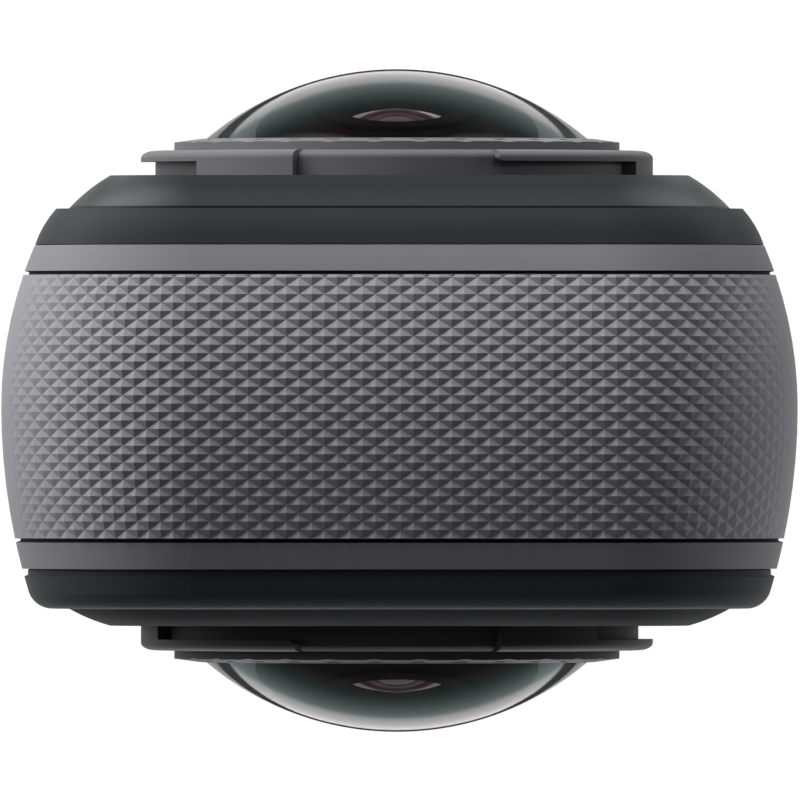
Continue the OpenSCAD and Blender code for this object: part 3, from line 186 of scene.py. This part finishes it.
def glass(name, tint, ior, film, film_ior=1.38, smudge=0.015):
    """Coated lens glass: clear, with a thin film and hardly any dust."""
    m, nt, b = new_material(name)
    if smudge:
        dust = noise(nt, coords(nt), SMUDGE_SCALE, SMUDGE_DETAIL)
        nt.links.new(map_range(nt, dust, *SMUDGE_RANGE, 0.0, smudge), b.inputs["Roughness"])
    else:
        b.inputs["Roughness"].default_value = 0.0
    b.inputs["Base Color"].default_value = (*tint, 1)
    b.inputs["Transmission Weight"].default_value = 1.0
    b.inputs["IOR"].default_value = ior
    b.inputs["Thin Film Thickness"].default_value = film
    b.inputs["Thin Film IOR"].default_value = film_ior
    return m


GREY = (0.35, 0.343, 0.372)
DARK = (0.056, 0.059, 0.066)
# Moulded: name, colour, roughness, grain, grain depth, drift of tone, specular level, metallic, stretch
MATS = {
    "frame_grey": moulded("frame_satin", shade(GREY, 0.74), 0.5, 10, 0.006, 0.02, 0.15),
    "grip_grey": moulded("grip_moulded", shade(GREY, 0.93), 0.5, 12, 0.006, 0.03, 0.25),
    "shell_dark": moulded("front_shell", shade(DARK, 0.65), 0.45, 8, 0.006, 0.04, 0.14),
    "shell_black": moulded("rear_shell", shade(DARK, 0.95), 0.48, 8, 0.006, 0.04, 0.1),
    "plate_grey": moulded("lens_plate", shade(DARK, 0.22), 0.37, 8, 0.006, 0.04, 1.0, tint=(0.88, 0.93, 1.0)),
    "ring_grey": moulded("bayonet_ring", (0.175, 0.175, 0.182), 0.45, 9, 0.006, 0.04, 0.1),
    "bezel_grey": moulded("lens_bezel", (0.18, 0.18, 0.185), 0.45, 9, 0.006, 0.04, 0.1),
    "dome_glass": glass("dome_glass", (1.0, 1.0, 1.0), 1.52, 1340.0, 1.36, 0.0),
    "edge_paint": moulded("edge_paint", (0.06, 0.07, 0.069), 0.7, 4, 0.002, 0.1, 0.1),
    # A pale ring inside the dome, painted light so that it stands as a highlight
    "painted_highlight_ring": moulded("painted_highlight_ring", (0.42, 0.37, 0.36), 0.4, 3, 0.0005, 0.05, 0.3),
    "lens_coat": moulded("lens_coat", (0.03, 0.012, 0.013), 0.5, 2, 0.0002, 0.1, 0.0,
                         coat=0.5, coat_rough=0.03, sheen=1.0),
    "lens_glass": glass("second_glass", (0.78, 0.5, 0.5), 1.6, 560.0),
    "relay_glass": glass("relay_glass", (0.7, 0.75, 0.8), 1.6, 300.0),
    "hood_black": moulded("hood_black", (0.004, 0.004, 0.0042), 0.8, 5, 0.002, 0.1, 0.0),
    "seal_rubber": moulded("seal_rubber", (0.02, 0.02, 0.02), 0.7, 5, 0.02, 0.1, 0.3),
    "sensor": moulded("sensor", (0.05, 0.07, 0.13), 0.15, 3, 0.002, 0.2),
    "board": moulded("board", (0.015, 0.1, 0.055), 0.35, 2.5, 0.02, 0.25),
    "bracket": moulded("bracket", (0.55, 0.55, 0.57), 0.35, 6, 0.01, 0.06, 0.5, 1.0),
    "screen_glass": moulded("screen_glass", (0.006, 0.006, 0.008), 0.08, 1.5, 0.0006, 0.2, 0.5, coat=0.4),
    "display": moulded("display", (0.012, 0.012, 0.016), 0.2, 3, 0.002, 0.1),
    "key_dark": moulded("keys", (0.045, 0.046, 0.05), 0.4, 9, 0.008, 0.05),
    "switch": moulded("switch", (0.55, 0.55, 0.5), 0.5, 6, 0.01, 0.08),
    "steel": moulded("steel", (0.56, 0.56, 0.57), 0.28, 4, 0.006, 0.05, 0.5, 1.0, (1, 1, 6)),
    "bay": moulded("bay", (0.045, 0.045, 0.05), 0.5, 7, 0.012, 0.06),
    "contact": moulded("contact", (0.8, 0.6, 0.26), 0.25, 5, 0.006, 0.08, 0.5, 1.0),
    "battery": moulded("battery", (0.06, 0.06, 0.065), 0.5, 7, 0.012, 0.06),
    "door": moulded("door", shade(GREY, 0.96), 0.5, 10, 0.008, 0.03),
    "latch": moulded("latch", (0.42, 0.06, 0.035), 0.45, 9, 0.01, 0.05),
    "card": moulded("card", (0.03, 0.03, 0.034), 0.45, 7, 0.01, 0.08),
    "slot": moulded("slot", (0.62, 0.62, 0.63), 0.3, 5, 0.006, 0.05, 0.5, 1.0),
    "magnet": moulded("magnet", (0.6, 0.6, 0.62), 0.2, 5, 0.004, 0.05, 0.5, 1.0),
    "spreader": moulded("spreader", (0.6, 0.58, 0.56), 0.35, 5, 0.01, 0.06, 0.5, 1.0, (1, 8, 1)),
    "speaker": moulded("speaker", (0.03, 0.03, 0.032), 0.6, 6, 0.03, 0.1),
    "guard": moulded("guard", (0.2, 0.2, 0.21), 0.35, 8, 0.006, 0.06, 0.5, 1.0),
    "led": moulded("led", (0.75, 0.79, 0.83), 0.3, 4, 0.004, 0.03),
    "base": moulded("base_cap", DARK, 0.5, 8, 0.012, 0.05),
}
# Copies of the lens group's materials for the screen side, darker, and for the plate less glossy: painted shade, for
# the side that faces away from the light
SHADED_REAR_MATS = {
    "rear_lens_plate": moulded("rear_plate_shaded", shade(DARK, 0.35), 0.5, 8, 0.006, 0.04, 0.04),
    "rear_bayonet_ring": moulded("rear_ring_shaded", (0.085, 0.085, 0.09), 0.45, 9, 0.006, 0.04, 0.1),
    "rear_lens_bezel": moulded("rear_bezel_shaded", (0.085, 0.085, 0.09), 0.45, 9, 0.006, 0.04, 0.1),
}
# A painted shadow along the seam where a plate meets its cover: its width, its fade and its tone
SEAM_SHADOW_W, SEAM_SHADOW_FADE, SEAM_SHADOW_TONE = 0.11, 1.5, (0.006, 0.006, 0.007, 1)


def paint_seam_shadow(mat, depth, width):
    """Paints shade on the foot of a plate, where it meets its cover, and takes its reflection out there: a painted
    seam shadow, depth and width in millimetres along Y.
    """
    nt = mat.node_tree
    bsdf = next(n for n in nt.nodes if n.type == "BSDF_PRINCIPLED")
    side = compute(nt, "ABSOLUTE", split(nt, coords(nt))["Y"])
    clear = map_range(nt, side, depth + width, depth + SEAM_SHADOW_FADE * width)
    for key in ("Base Color", "Specular Tint"):
        socket = bsdf.inputs[key]
        shadow_mix = nt.nodes.new("ShaderNodeMix")
        shadow_mix.data_type = "RGBA"
        nt.links.new(clear, shadow_mix.inputs["Factor"])
        shadow_mix.inputs[6].default_value = SEAM_SHADOW_TONE
        if socket.is_linked:
            nt.links.new(socket.links[0].from_socket, shadow_mix.inputs[7])
        else:
            shadow_mix.inputs[7].default_value = socket.default_value
        nt.links.new(shadow_mix.outputs[2], socket)


# Painted seam shadow at the foot of the front plate
paint_seam_shadow(MATS["plate_grey"], PLATE_FOOT, SEAM_SHADOW_W)
for row in frame["record"]["subparts"]:
    materials = NODES[row["node"]].data.materials
    materials.clear()
    materials.append(SHADED_REAR_MATS.get(row["node"], MATS[row["material_slot"]]))


# ---------------------------------------------------------------- mesh tools

def piece(name, bm, slot, sharp=30.0):
    """A piece of the object from a bmesh in millimetres, in the part's frame."""
    bmesh.ops.recalc_face_normals(bm, faces=bm.faces[:])
    if bm.calc_volume(signed=True) < 0:
        bmesh.ops.reverse_faces(bm, faces=bm.faces[:])
    mesh = bpy.data.meshes.new(name)
    for v in bm.verts:
        v.co *= MM
    bm.to_mesh(mesh)
    bm.free()
    mesh.polygons.foreach_set("use_smooth", [True] * len(mesh.polygons))
    mesh.set_sharp_from_angle(angle=math.radians(sharp))
    mesh.materials.append(MATS[slot])
    obj = bpy.data.objects.new(name, mesh)
    bpy.context.scene.collection.objects.link(obj)
    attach(obj, BODY)
    return obj


def skin(bm, rings):
    """Joins each ring of vertices to the next. Corners that fall together are left out."""
    for a, b in zip(rings, rings[1:]):
        for k in range(len(a)):
            after = (k + 1) % len(a)
            quad = [a[k], a[after], b[after], b[k]]
            corners = [v for i, v in enumerate(quad) if v not in quad[:i]]
            if len(corners) > 2:
                bm.faces.new(corners)


def at_lens(side, x, y, h):
    """A point of a lens, side 1 toward the front (+Y) and -1 toward the screen, h along its axis."""
    return Vector((LENS_X - side * x, side * h, LENS_Z + y))


def lathe(profile, count, place):
    """A profile of (radius, height) turned about the axis. Points at radius 0 become one vertex."""
    bm = bmesh.new()
    turns = [2 * math.pi * k / count for k in range(count)]
    rings = []
    for r, h in profile:
        if r < 1e-6:
            rings.append([bm.verts.new(place(0, 0, h))] * count)
        else:
            rings.append([bm.verts.new(place(r * math.cos(t), r * math.sin(t), h)) for t in turns])
    skin(bm, rings)
    return bm


def arc(radius, centre, a0, a1, steps):
    """Points (radius, height) on a circle about a centre on the axis, angles from the axis in degrees."""
    angles = [math.radians(a0 + (a1 - a0) * i / steps) for i in range(steps + 1)]
    return [(radius * math.sin(a), centre + radius * math.cos(a)) for a in angles]


# ---------------------------------------------------------------- lenses

LENS_SIDES, CAP_STEPS, HOLLOW_STEPS = 256, 64, 28
TIER_FOOT_R, TIER_TOP_R, TIER_H = 5.95, 5.4, 1.2
# The pale ring round the foot of the hollow, a painted highlight for the bright arc over the second lens: how far it
# rises, and its width
HIGHLIGHT_RING_UP, HIGHLIGHT_RING_W = 0.05, 0.27


def dome(side, name, node):
    """Thick front lens: clear cap, ground and blackened rim and foot, a pale ring at the foot of the hollow that is a
    painted highlight, and a coated hollow over the second lens.
    """
    rim_angle = math.degrees(math.asin(DOME_RIM_R / DOME_R))
    hollow_r = SECOND_CURVE + SEAM
    foot_rise = DOME_FOOT_Z - SECOND_TOP + SECOND_CURVE
    foot_angle = math.degrees(math.acos((foot_rise + HIGHLIGHT_RING_UP) / hollow_r))
    highlight_ring_r, highlight_ring_z = hollow_r * math.sin(math.radians(foot_angle)), DOME_FOOT_Z + 2 * HIGHLIGHT_RING_UP
    groove_r, groove_z = HOOD_R + SEAM, DOME_FOOT_Z + HOOD_H + SEAM
    tier_z = DOME_FOOT_Z + TIER_H
    bands = [("dome_glass", arc(DOME_R, DOME_APEX - DOME_R, 0, rim_angle, CAP_STEPS)),
             ("edge_paint", [(DOME_RIM_R, DOME_RIM_LOW), (DOME_FOOT_R, DOME_RIM_LOW), (DOME_FOOT_R, DOME_FOOT_Z),
                             (TIER_FOOT_R, DOME_FOOT_Z)]),
             ("hood_black", [(TIER_TOP_R, tier_z), (groove_r, tier_z), (groove_r, groove_z), (SECOND_R, groove_z),
                             (SECOND_R, highlight_ring_z), (highlight_ring_r + HIGHLIGHT_RING_W, highlight_ring_z)]),
             # The pale ring: a painted highlight
             ("painted_highlight_ring", [(highlight_ring_r, DOME_FOOT_Z + HIGHLIGHT_RING_UP)]),
             ("lens_coat", arc(hollow_r, SECOND_TOP - SECOND_CURVE, foot_angle, 0, HOLLOW_STEPS)[1:])]
    profile = [point for slot, points in bands for point in points]
    paint = [k for k, (slot, points) in enumerate(bands) for point in points]
    bm = lathe(profile, LENS_SIDES, lambda x, y, h: at_lens(side, x, y, h))
    for i, f in enumerate(bm.faces):
        f.material_index = paint[1 + i // LENS_SIDES]
    obj = piece(name, bm, "dome_glass")
    for slot, points in bands[1:]:
        obj.data.materials.append(MATS[slot])
    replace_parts(obj, node)


for side, end in ((1, "front"), (-1, "rear")):
    dome(side, end + "_dome", end + "_dome_lens")


# ---------------------------------------------------------------- tripod insert

THREAD_SIDES, THREAD_ROWS = 96, 120
# Half the width of a thread's groove at its mouth, and a flank's width, as shares of the pitch
THREAD_MOUTH, THREAD_FLANK = 0.4375, 0.375
COUNTERSINK, INSERT_BEVEL = 0.1, 0.15


def tripod_thread():
    """Steel insert with the real helical thread in its bore and a countersunk entry."""
    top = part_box("tripod_insert")[1][2] / MM
    flange_top = INSERT_SEAT + INSERT_FLANGE_T
    bm = bmesh.new()

    def bore(z, k):
        f = (z / THREAD_PITCH - k / THREAD_SIDES) % 1.0
        depth = min(1.0, max(0.0, (THREAD_MOUTH - abs(f - 0.5)) / THREAD_FLANK))
        return max(THREAD_R + (THREAD_MAJOR - THREAD_R) * depth, THREAD_MAJOR + COUNTERSINK - (z - THREAD_LOW))

    def ring(z, radii):
        turns = [2 * math.pi * k / THREAD_SIDES for k in range(THREAD_SIDES)]
        return [bm.verts.new((r * math.cos(t), r * math.sin(t), z)) for r, t in zip(radii, turns)]

    outline = [(INSERT_R - INSERT_BEVEL, THREAD_LOW), (INSERT_R, THREAD_LOW + INSERT_BEVEL), (INSERT_R, INSERT_SEAT),
               (INSERT_FLANGE_R, INSERT_SEAT), (INSERT_FLANGE_R, flange_top), (INSERT_R, flange_top), (INSERT_R, top)]
    outside = [ring(z, [r] * THREAD_SIDES) for r, z in outline]
    levels = [THREAD_HIGH + (THREAD_LOW - THREAD_HIGH) * i / THREAD_ROWS for i in range(THREAD_ROWS + 1)]
    inside = [ring(z, [bore(z, k) for k in range(THREAD_SIDES)]) for z in levels]
    bm.faces.new(outside[-1])
    bm.faces.new(inside[0])
    for rings in (outside, inside, [inside[-1], outside[0]]):
        skin(bm, rings)
    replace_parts(piece("tripod_thread", bm, "steel", sharp=40.0), "tripod_insert")


tripod_thread()


# ---------------------------------------------------------------- grip

PYR_W, PYR_H, PYR_UP = 1.4628, 0.968, 0.215
PYR_X, PYR_Z, PYR_SHARP = 0.075, 0.173, 9.0
# How far the texture stands over the band and reaches into it, and how it sinks in where it has faded out
PYR_LIFT, PYR_ROOT, PYR_SINK, SINK_BELOW = 0.015, 0.2, 0.06, 0.05
GRIP_HALF, GRIP_GAP = 9, 0.02
# Degrees round the corner where the texture starts to fade, and where it ends
FADE_0, FADE_1 = 18.0, 88.0
FILLER_STEPS, FILLER_SIDE, FILLER_TOP, FILLER_LOW = 240, 16.0, 0.3, 0.8


def bulge(z):
    """How far the outline draws in at a depth z."""
    r = FRONT_BULGE_R if z < BULGE_Z else REAR_BULGE_R
    return r - math.sqrt(r * r - (z - BULGE_Z) ** 2)


def arch_point(s, inset, z):
    """Distance s along the arch from the middle of the top, inset from the outline, depth z."""
    t = abs(s)
    if t <= FLAT:
        x, y = t, BODY_H - inset
    elif t <= FLAT + CORNER_R * math.pi / 2:
        a = (t - FLAT) / CORNER_R
        x, y = FLAT + (CORNER_R - inset) * math.sin(a), BODY_H - CORNER_R + (CORNER_R - inset) * math.cos(a)
    else:
        x, y = HALF_W - inset, BODY_H - CORNER_R - (t - FLAT - CORNER_R * math.pi / 2)
    return Vector((math.copysign(x, s), -z, y))


def grip_texture():
    """Closed sheet of pyramids over the top, which fades into the band toward the sides."""
    reach = FLAT + CORNER_R * math.radians(FADE_1)
    hu, hv = PYR_W / 2, PYR_H / 2
    ni, nj = int(reach / hu) + 2, int(GRIP_HALF / hv) + 2
    bm = bmesh.new()
    grid = {(i, j): bm.verts.new((PYR_X + i * hu, PYR_Z + j * hv, PYR_UP if (i + j) % 2 == 0 else 0.0))
            for i in range(-ni, ni + 1) for j in range(-nj, nj + 1)}
    for i in range(-ni, ni):
        for j in range(-nj, nj):
            a, b, c, d = (grid[k] for k in ((i, j), (i + 1, j), (i + 1, j + 1), (i, j + 1)))
            halves = ((a, b, d), (c, d, b)) if (i + j) % 2 == 0 else ((b, c, a), (d, a, c))
            for corners in halves:
                bm.faces.new(corners)
    for co, no in (((0, GRIP_FRONT + GRIP_GAP, 0), (0, -1, 0)), ((0, GRIP_REAR - GRIP_GAP, 0), (0, 1, 0)),
                   ((reach, 0, 0), (1, 0, 0)), ((-reach, 0, 0), (-1, 0, 0))):
        everything = bm.verts[:] + bm.edges[:] + bm.faces[:]
        bmesh.ops.bisect_plane(bm, geom=everything, plane_co=co, plane_no=no, clear_outer=True)
    grown = bmesh.ops.extrude_face_region(bm, geom=bm.faces[:], use_keep_orig=True)["geom"]
    under = {v for v in grown if isinstance(v, bmesh.types.BMVert)}
    for v in bm.verts:
        s, z, h = v.co
        degrees = math.degrees(max(0.0, abs(s) - FLAT) / CORNER_R)
        t = min(1.0, max(0.0, (degrees - FADE_0) / (FADE_1 - FADE_0)))
        keep = 1 - t * t * (3 - 2 * t)
        sunk = PYR_SINK * max(0.0, 1 - keep / SINK_BELOW)
        up = -PYR_ROOT if v in under else h * keep + PYR_LIFT - sunk
        v.co = arch_point(s, bulge(z) - up, z)
    piece("grip_pyramids", bm, "grip_grey", sharp=PYR_SHARP)


def channel_filler(name, z0, z1):
    """Dark strip that lies in a channel beside the grip, from one side of the top to the other."""
    reach = FLAT + CORNER_R * math.pi / 2 + FILLER_SIDE
    section = ((z0, FILLER_TOP), (z1, FILLER_TOP), (z1, FILLER_LOW), (z0, FILLER_LOW))
    bm, rings = bmesh.new(), []
    for i in range(FILLER_STEPS + 1):
        s = -reach + 2 * reach * i / FILLER_STEPS
        rings.append([bm.verts.new(arch_point(s, bulge(z) + d, z)) for z, d in section])
    skin(bm, rings)
    bm.faces.new(rings[0])
    bm.faces.new(rings[-1])
    piece(name, bm, "seal_rubber")


grip_texture()
channel_filler("front_channel_filler", GRIP_FRONT - CHANNEL_W + GRIP_GAP, GRIP_FRONT - GRIP_GAP)
channel_filler("rear_channel_filler", GRIP_REAR + GRIP_GAP, GRIP_REAR + CHANNEL_W - GRIP_GAP)


# ---------------------------------------------------------------- stage

# World light by direction: brighter ahead (+Y), and in reflections brightest ahead near the horizon
AHEAD_Y, RISE_Z = (-0.7, 0.9), (0.1, 0.6)
SOFT_BEHIND, SOFT_AHEAD = (0.025, 0.025, 0.026), (0.24, 0.24, 0.247)
GLOSS_DIM, GLOSS_BRIGHT = (0.04, 0.04, 0.042), (0.3, 0.3, 0.3)
# The floor, in metres, and the share of it that glows white where it is seen, which leaves the shadow
FLOOR_HALF, FLOOR_DROP, FLOOR_TONE, FLOOR_GLOW, FLOOR_SHARE = 15.0, 0.0001, 0.6, 1.16, 0.86
# How bright the floor glows in reflections, by distance from the object in metres: a painted shadow close to it, a
# glowing white ring that paints a reflection, the falloff
FLOOR_REACH = 0.6
FLOOR_GLOSS = [(0.0, 0.04), (0.041, 0.04), (0.046, 1.6), (0.086, 1.5), (0.1, 0.8), (0.13, 0.55), (0.18, 0.25),
               (0.3, 0.08), (0.6, 0.05)]
# In reflections, a glowing strip under the object and a painted dark band beyond it, by |Y| + FLOOR_SLANT |X| in
# metres
FLOOR_CLEAR, FLOOR_LINE, FLOOR_SLANT = 0.0195, 0.009, -0.85
STRIP_LEVEL, STRIP_FADE, LINE_LEVEL, LINE_FADE = 0.55, 0.002, 0.04, 1.4
# Two glowing patches ahead to the left and right, seen only in reflections, that paint highlights: where each starts
# and is full along X, and its level
GLOW_PATCHES = ((-0.09, -0.15, 2.3), (0.09, 0.15, 1.6))
GLOW_PATCH_Y = (0.08, 0.14)


def ray_kinds(nt):
    """Whether a ray comes from the camera or through glass, and whether it is a reflection."""
    path = nt.nodes.new("ShaderNodeLightPath")
    seen = compute(nt, "MAXIMUM", path.outputs["Is Camera Ray"], path.outputs["Is Transmission Ray"])
    return seen, path.outputs["Is Glossy Ray"]


def studio_world():
    world = bpy.data.worlds.new("studio")
    bpy.context.scene.world = world
    world.use_nodes = True
    nt = world.node_tree
    nt.nodes.clear()
    out = nt.nodes.new("ShaderNodeOutputWorld")
    way = split(nt, nt.nodes.new("ShaderNodeTexCoord").outputs["Generated"])
    ahead = map_range(nt, way["Y"], *AHEAD_Y)
    shine = compute(nt, "MULTIPLY", ahead, map_range(nt, way["Z"], *RISE_Z, 1.0, 0.0))

    def background(fac, low, high):
        b = nt.nodes.new("ShaderNodeBackground")
        nt.links.new(ramp(nt, fac, [(0.0, low), (1.0, high)]), b.inputs["Color"])
        return b.outputs[0]

    white = nt.nodes.new("ShaderNodeBackground")
    white.inputs["Color"].default_value = (1, 1, 1, 1)
    seen, glossy = ray_kinds(nt)
    lit = mix(nt, glossy, background(ahead, SOFT_BEHIND, SOFT_AHEAD), background(shine, GLOSS_DIM, GLOSS_BRIGHT))
    nt.links.new(mix(nt, seen, lit, white.outputs[0]), out.inputs[0])


def floor_material():
    """Pale where it is seen, with the object's shadow. In reflections it glows in a painted pattern round the object:
    a painted shadow close to it, glowing rings, a strip and patches beyond.
    """
    m = bpy.data.materials.new("floor")
    m.use_nodes = True
    nt = m.node_tree
    nt.nodes.clear()
    out = nt.nodes.new("ShaderNodeOutputMaterial")

    def glow(strength):
        n = nt.nodes.new("ShaderNodeEmission")
        n.inputs["Strength"].default_value = strength
        return n

    place = nt.nodes.new("ShaderNodeNewGeometry").outputs["Position"]
    flat = nt.nodes.new("ShaderNodeMapping")
    flat.inputs["Scale"].default_value = (1, 1, 0)
    nt.links.new(place, flat.inputs["Vector"])
    reach = nt.nodes.new("ShaderNodeVectorMath")
    reach.operation = "LENGTH"
    nt.links.new(flat.outputs["Vector"], reach.inputs[0])
    rings = [(r / FLOOR_REACH, (v, v, v)) for r, v in FLOOR_GLOSS]
    # In reflections only: a painted shadow near the object, then a glowing ring, a painted reflection
    card = glow(1.0)
    nt.links.new(ramp(nt, map_range(nt, reach.outputs["Value"], 0.0, FLOOR_REACH), rings), card.inputs["Color"])

    at = split(nt, place)
    across, away = (compute(nt, "ABSOLUTE", at[axis]) for axis in "XY")
    ahead = compute(nt, "MULTIPLY_ADD", across, FLOOR_SLANT, away)
    past_line = map_range(nt, ahead, FLOOR_CLEAR + FLOOR_LINE, FLOOR_CLEAR + LINE_FADE * FLOOR_LINE)
    past_strip = map_range(nt, ahead, FLOOR_CLEAR - STRIP_FADE, FLOOR_CLEAR)
    mirrored = mix(nt, past_line, glow(LINE_LEVEL).outputs[0], card.outputs[0])
    mirrored = mix(nt, past_strip, glow(STRIP_LEVEL).outputs[0], mirrored)
    # Glowing patches seen only in reflections, painted highlights
    for start, end, level in GLOW_PATCHES:
        glow_patch = compute(nt, "MULTIPLY", map_range(nt, at["X"], start, end), map_range(nt, at["Y"], *GLOW_PATCH_Y))
        mirrored = mix(nt, glow_patch, mirrored, glow(level).outputs[0])

    pale = nt.nodes.new("ShaderNodeBsdfDiffuse")
    pale.inputs["Color"].default_value = (FLOOR_TONE, FLOOR_TONE, FLOOR_TONE, 1)
    seen, glossy = ray_kinds(nt)
    share = map_range(nt, seen, 0.0, 1.0, 0.0, FLOOR_SHARE)
    shown = mix(nt, share, pale.outputs[0], glow(FLOOR_GLOW).outputs[0])
    nt.links.new(mix(nt, glossy, shown, mirrored), out.inputs[0])
    return m


def studio_floor():
    bm = bmesh.new()
    bmesh.ops.create_grid(bm, x_segments=2, y_segments=2, size=FLOOR_HALF)
    mesh = bpy.data.meshes.new("floor")
    bm.to_mesh(mesh)
    bm.free()
    mesh.materials.append(floor_material())
    floor = bpy.data.objects.new("floor", mesh)
    bpy.context.scene.collection.objects.link(floor)
    floor.location.z = -FLOOR_DROP


def softbox(name, place, aim, size, power):
    light = bpy.data.lights.new(name, "AREA")
    light.shape = "RECTANGLE"
    light.size, light.size_y = size
    light.energy = power
    obj = bpy.data.objects.new(name, light)
    obj.location = place
    obj.rotation_euler = (Vector(aim) - Vector(place)).to_track_quat("-Z", "Y").to_euler()
    obj.visible_camera = False
    obj.visible_glossy = False
    bpy.context.scene.collection.objects.link(obj)


studio_world()
studio_floor()
softbox("key", (-0.38, 0.95, 0.31), (0, 0, 0.11), (0.8, 0.5), 10.5)
softbox("left_fill", (-0.85, 0.25, 0.27), (0, 0, 0.1), (0.5, 0.45), 3.0)
softbox("right_strip", (0.85, 0.2, 0.15), (0, 0, 0.1), (0.1, 0.4), 1.2)
softbox("low_fill", (0.05, -0.26, 0.015), (0, 0, 0.06), (0.4, 0.04), 0.5)


# ---------------------------------------------------------------- camera

# The photograph's scale holds at the height SHARP_Z, in millimetres. Its middle is in metres
IMAGE_PX, PX_PER_MM, SHARP_Z = 800, 17.28, 109.0
FRAME_MM = IMAGE_PX / PX_PER_MM
LENS_MM, SENSOR_MM = 1650.0, 36.0
MIDDLE_X, MIDDLE_Y = 0.00003, 0.00003

cam = bpy.data.cameras.new("camera")
cam.lens = LENS_MM
cam.sensor_width = SENSOR_MM
cam.clip_start, cam.clip_end = 0.05, 100.0
eye = bpy.data.objects.new("camera", cam)
eye.location = (MIDDLE_X, MIDDLE_Y, (SHARP_Z + FRAME_MM * LENS_MM / SENSOR_MM) * MM)
eye.rotation_euler = (0, 0, 0)
bpy.context.scene.collection.objects.link(eye)
bpy.context.scene.camera = eye
bpy.context.scene.view_settings.view_transform = "Standard"
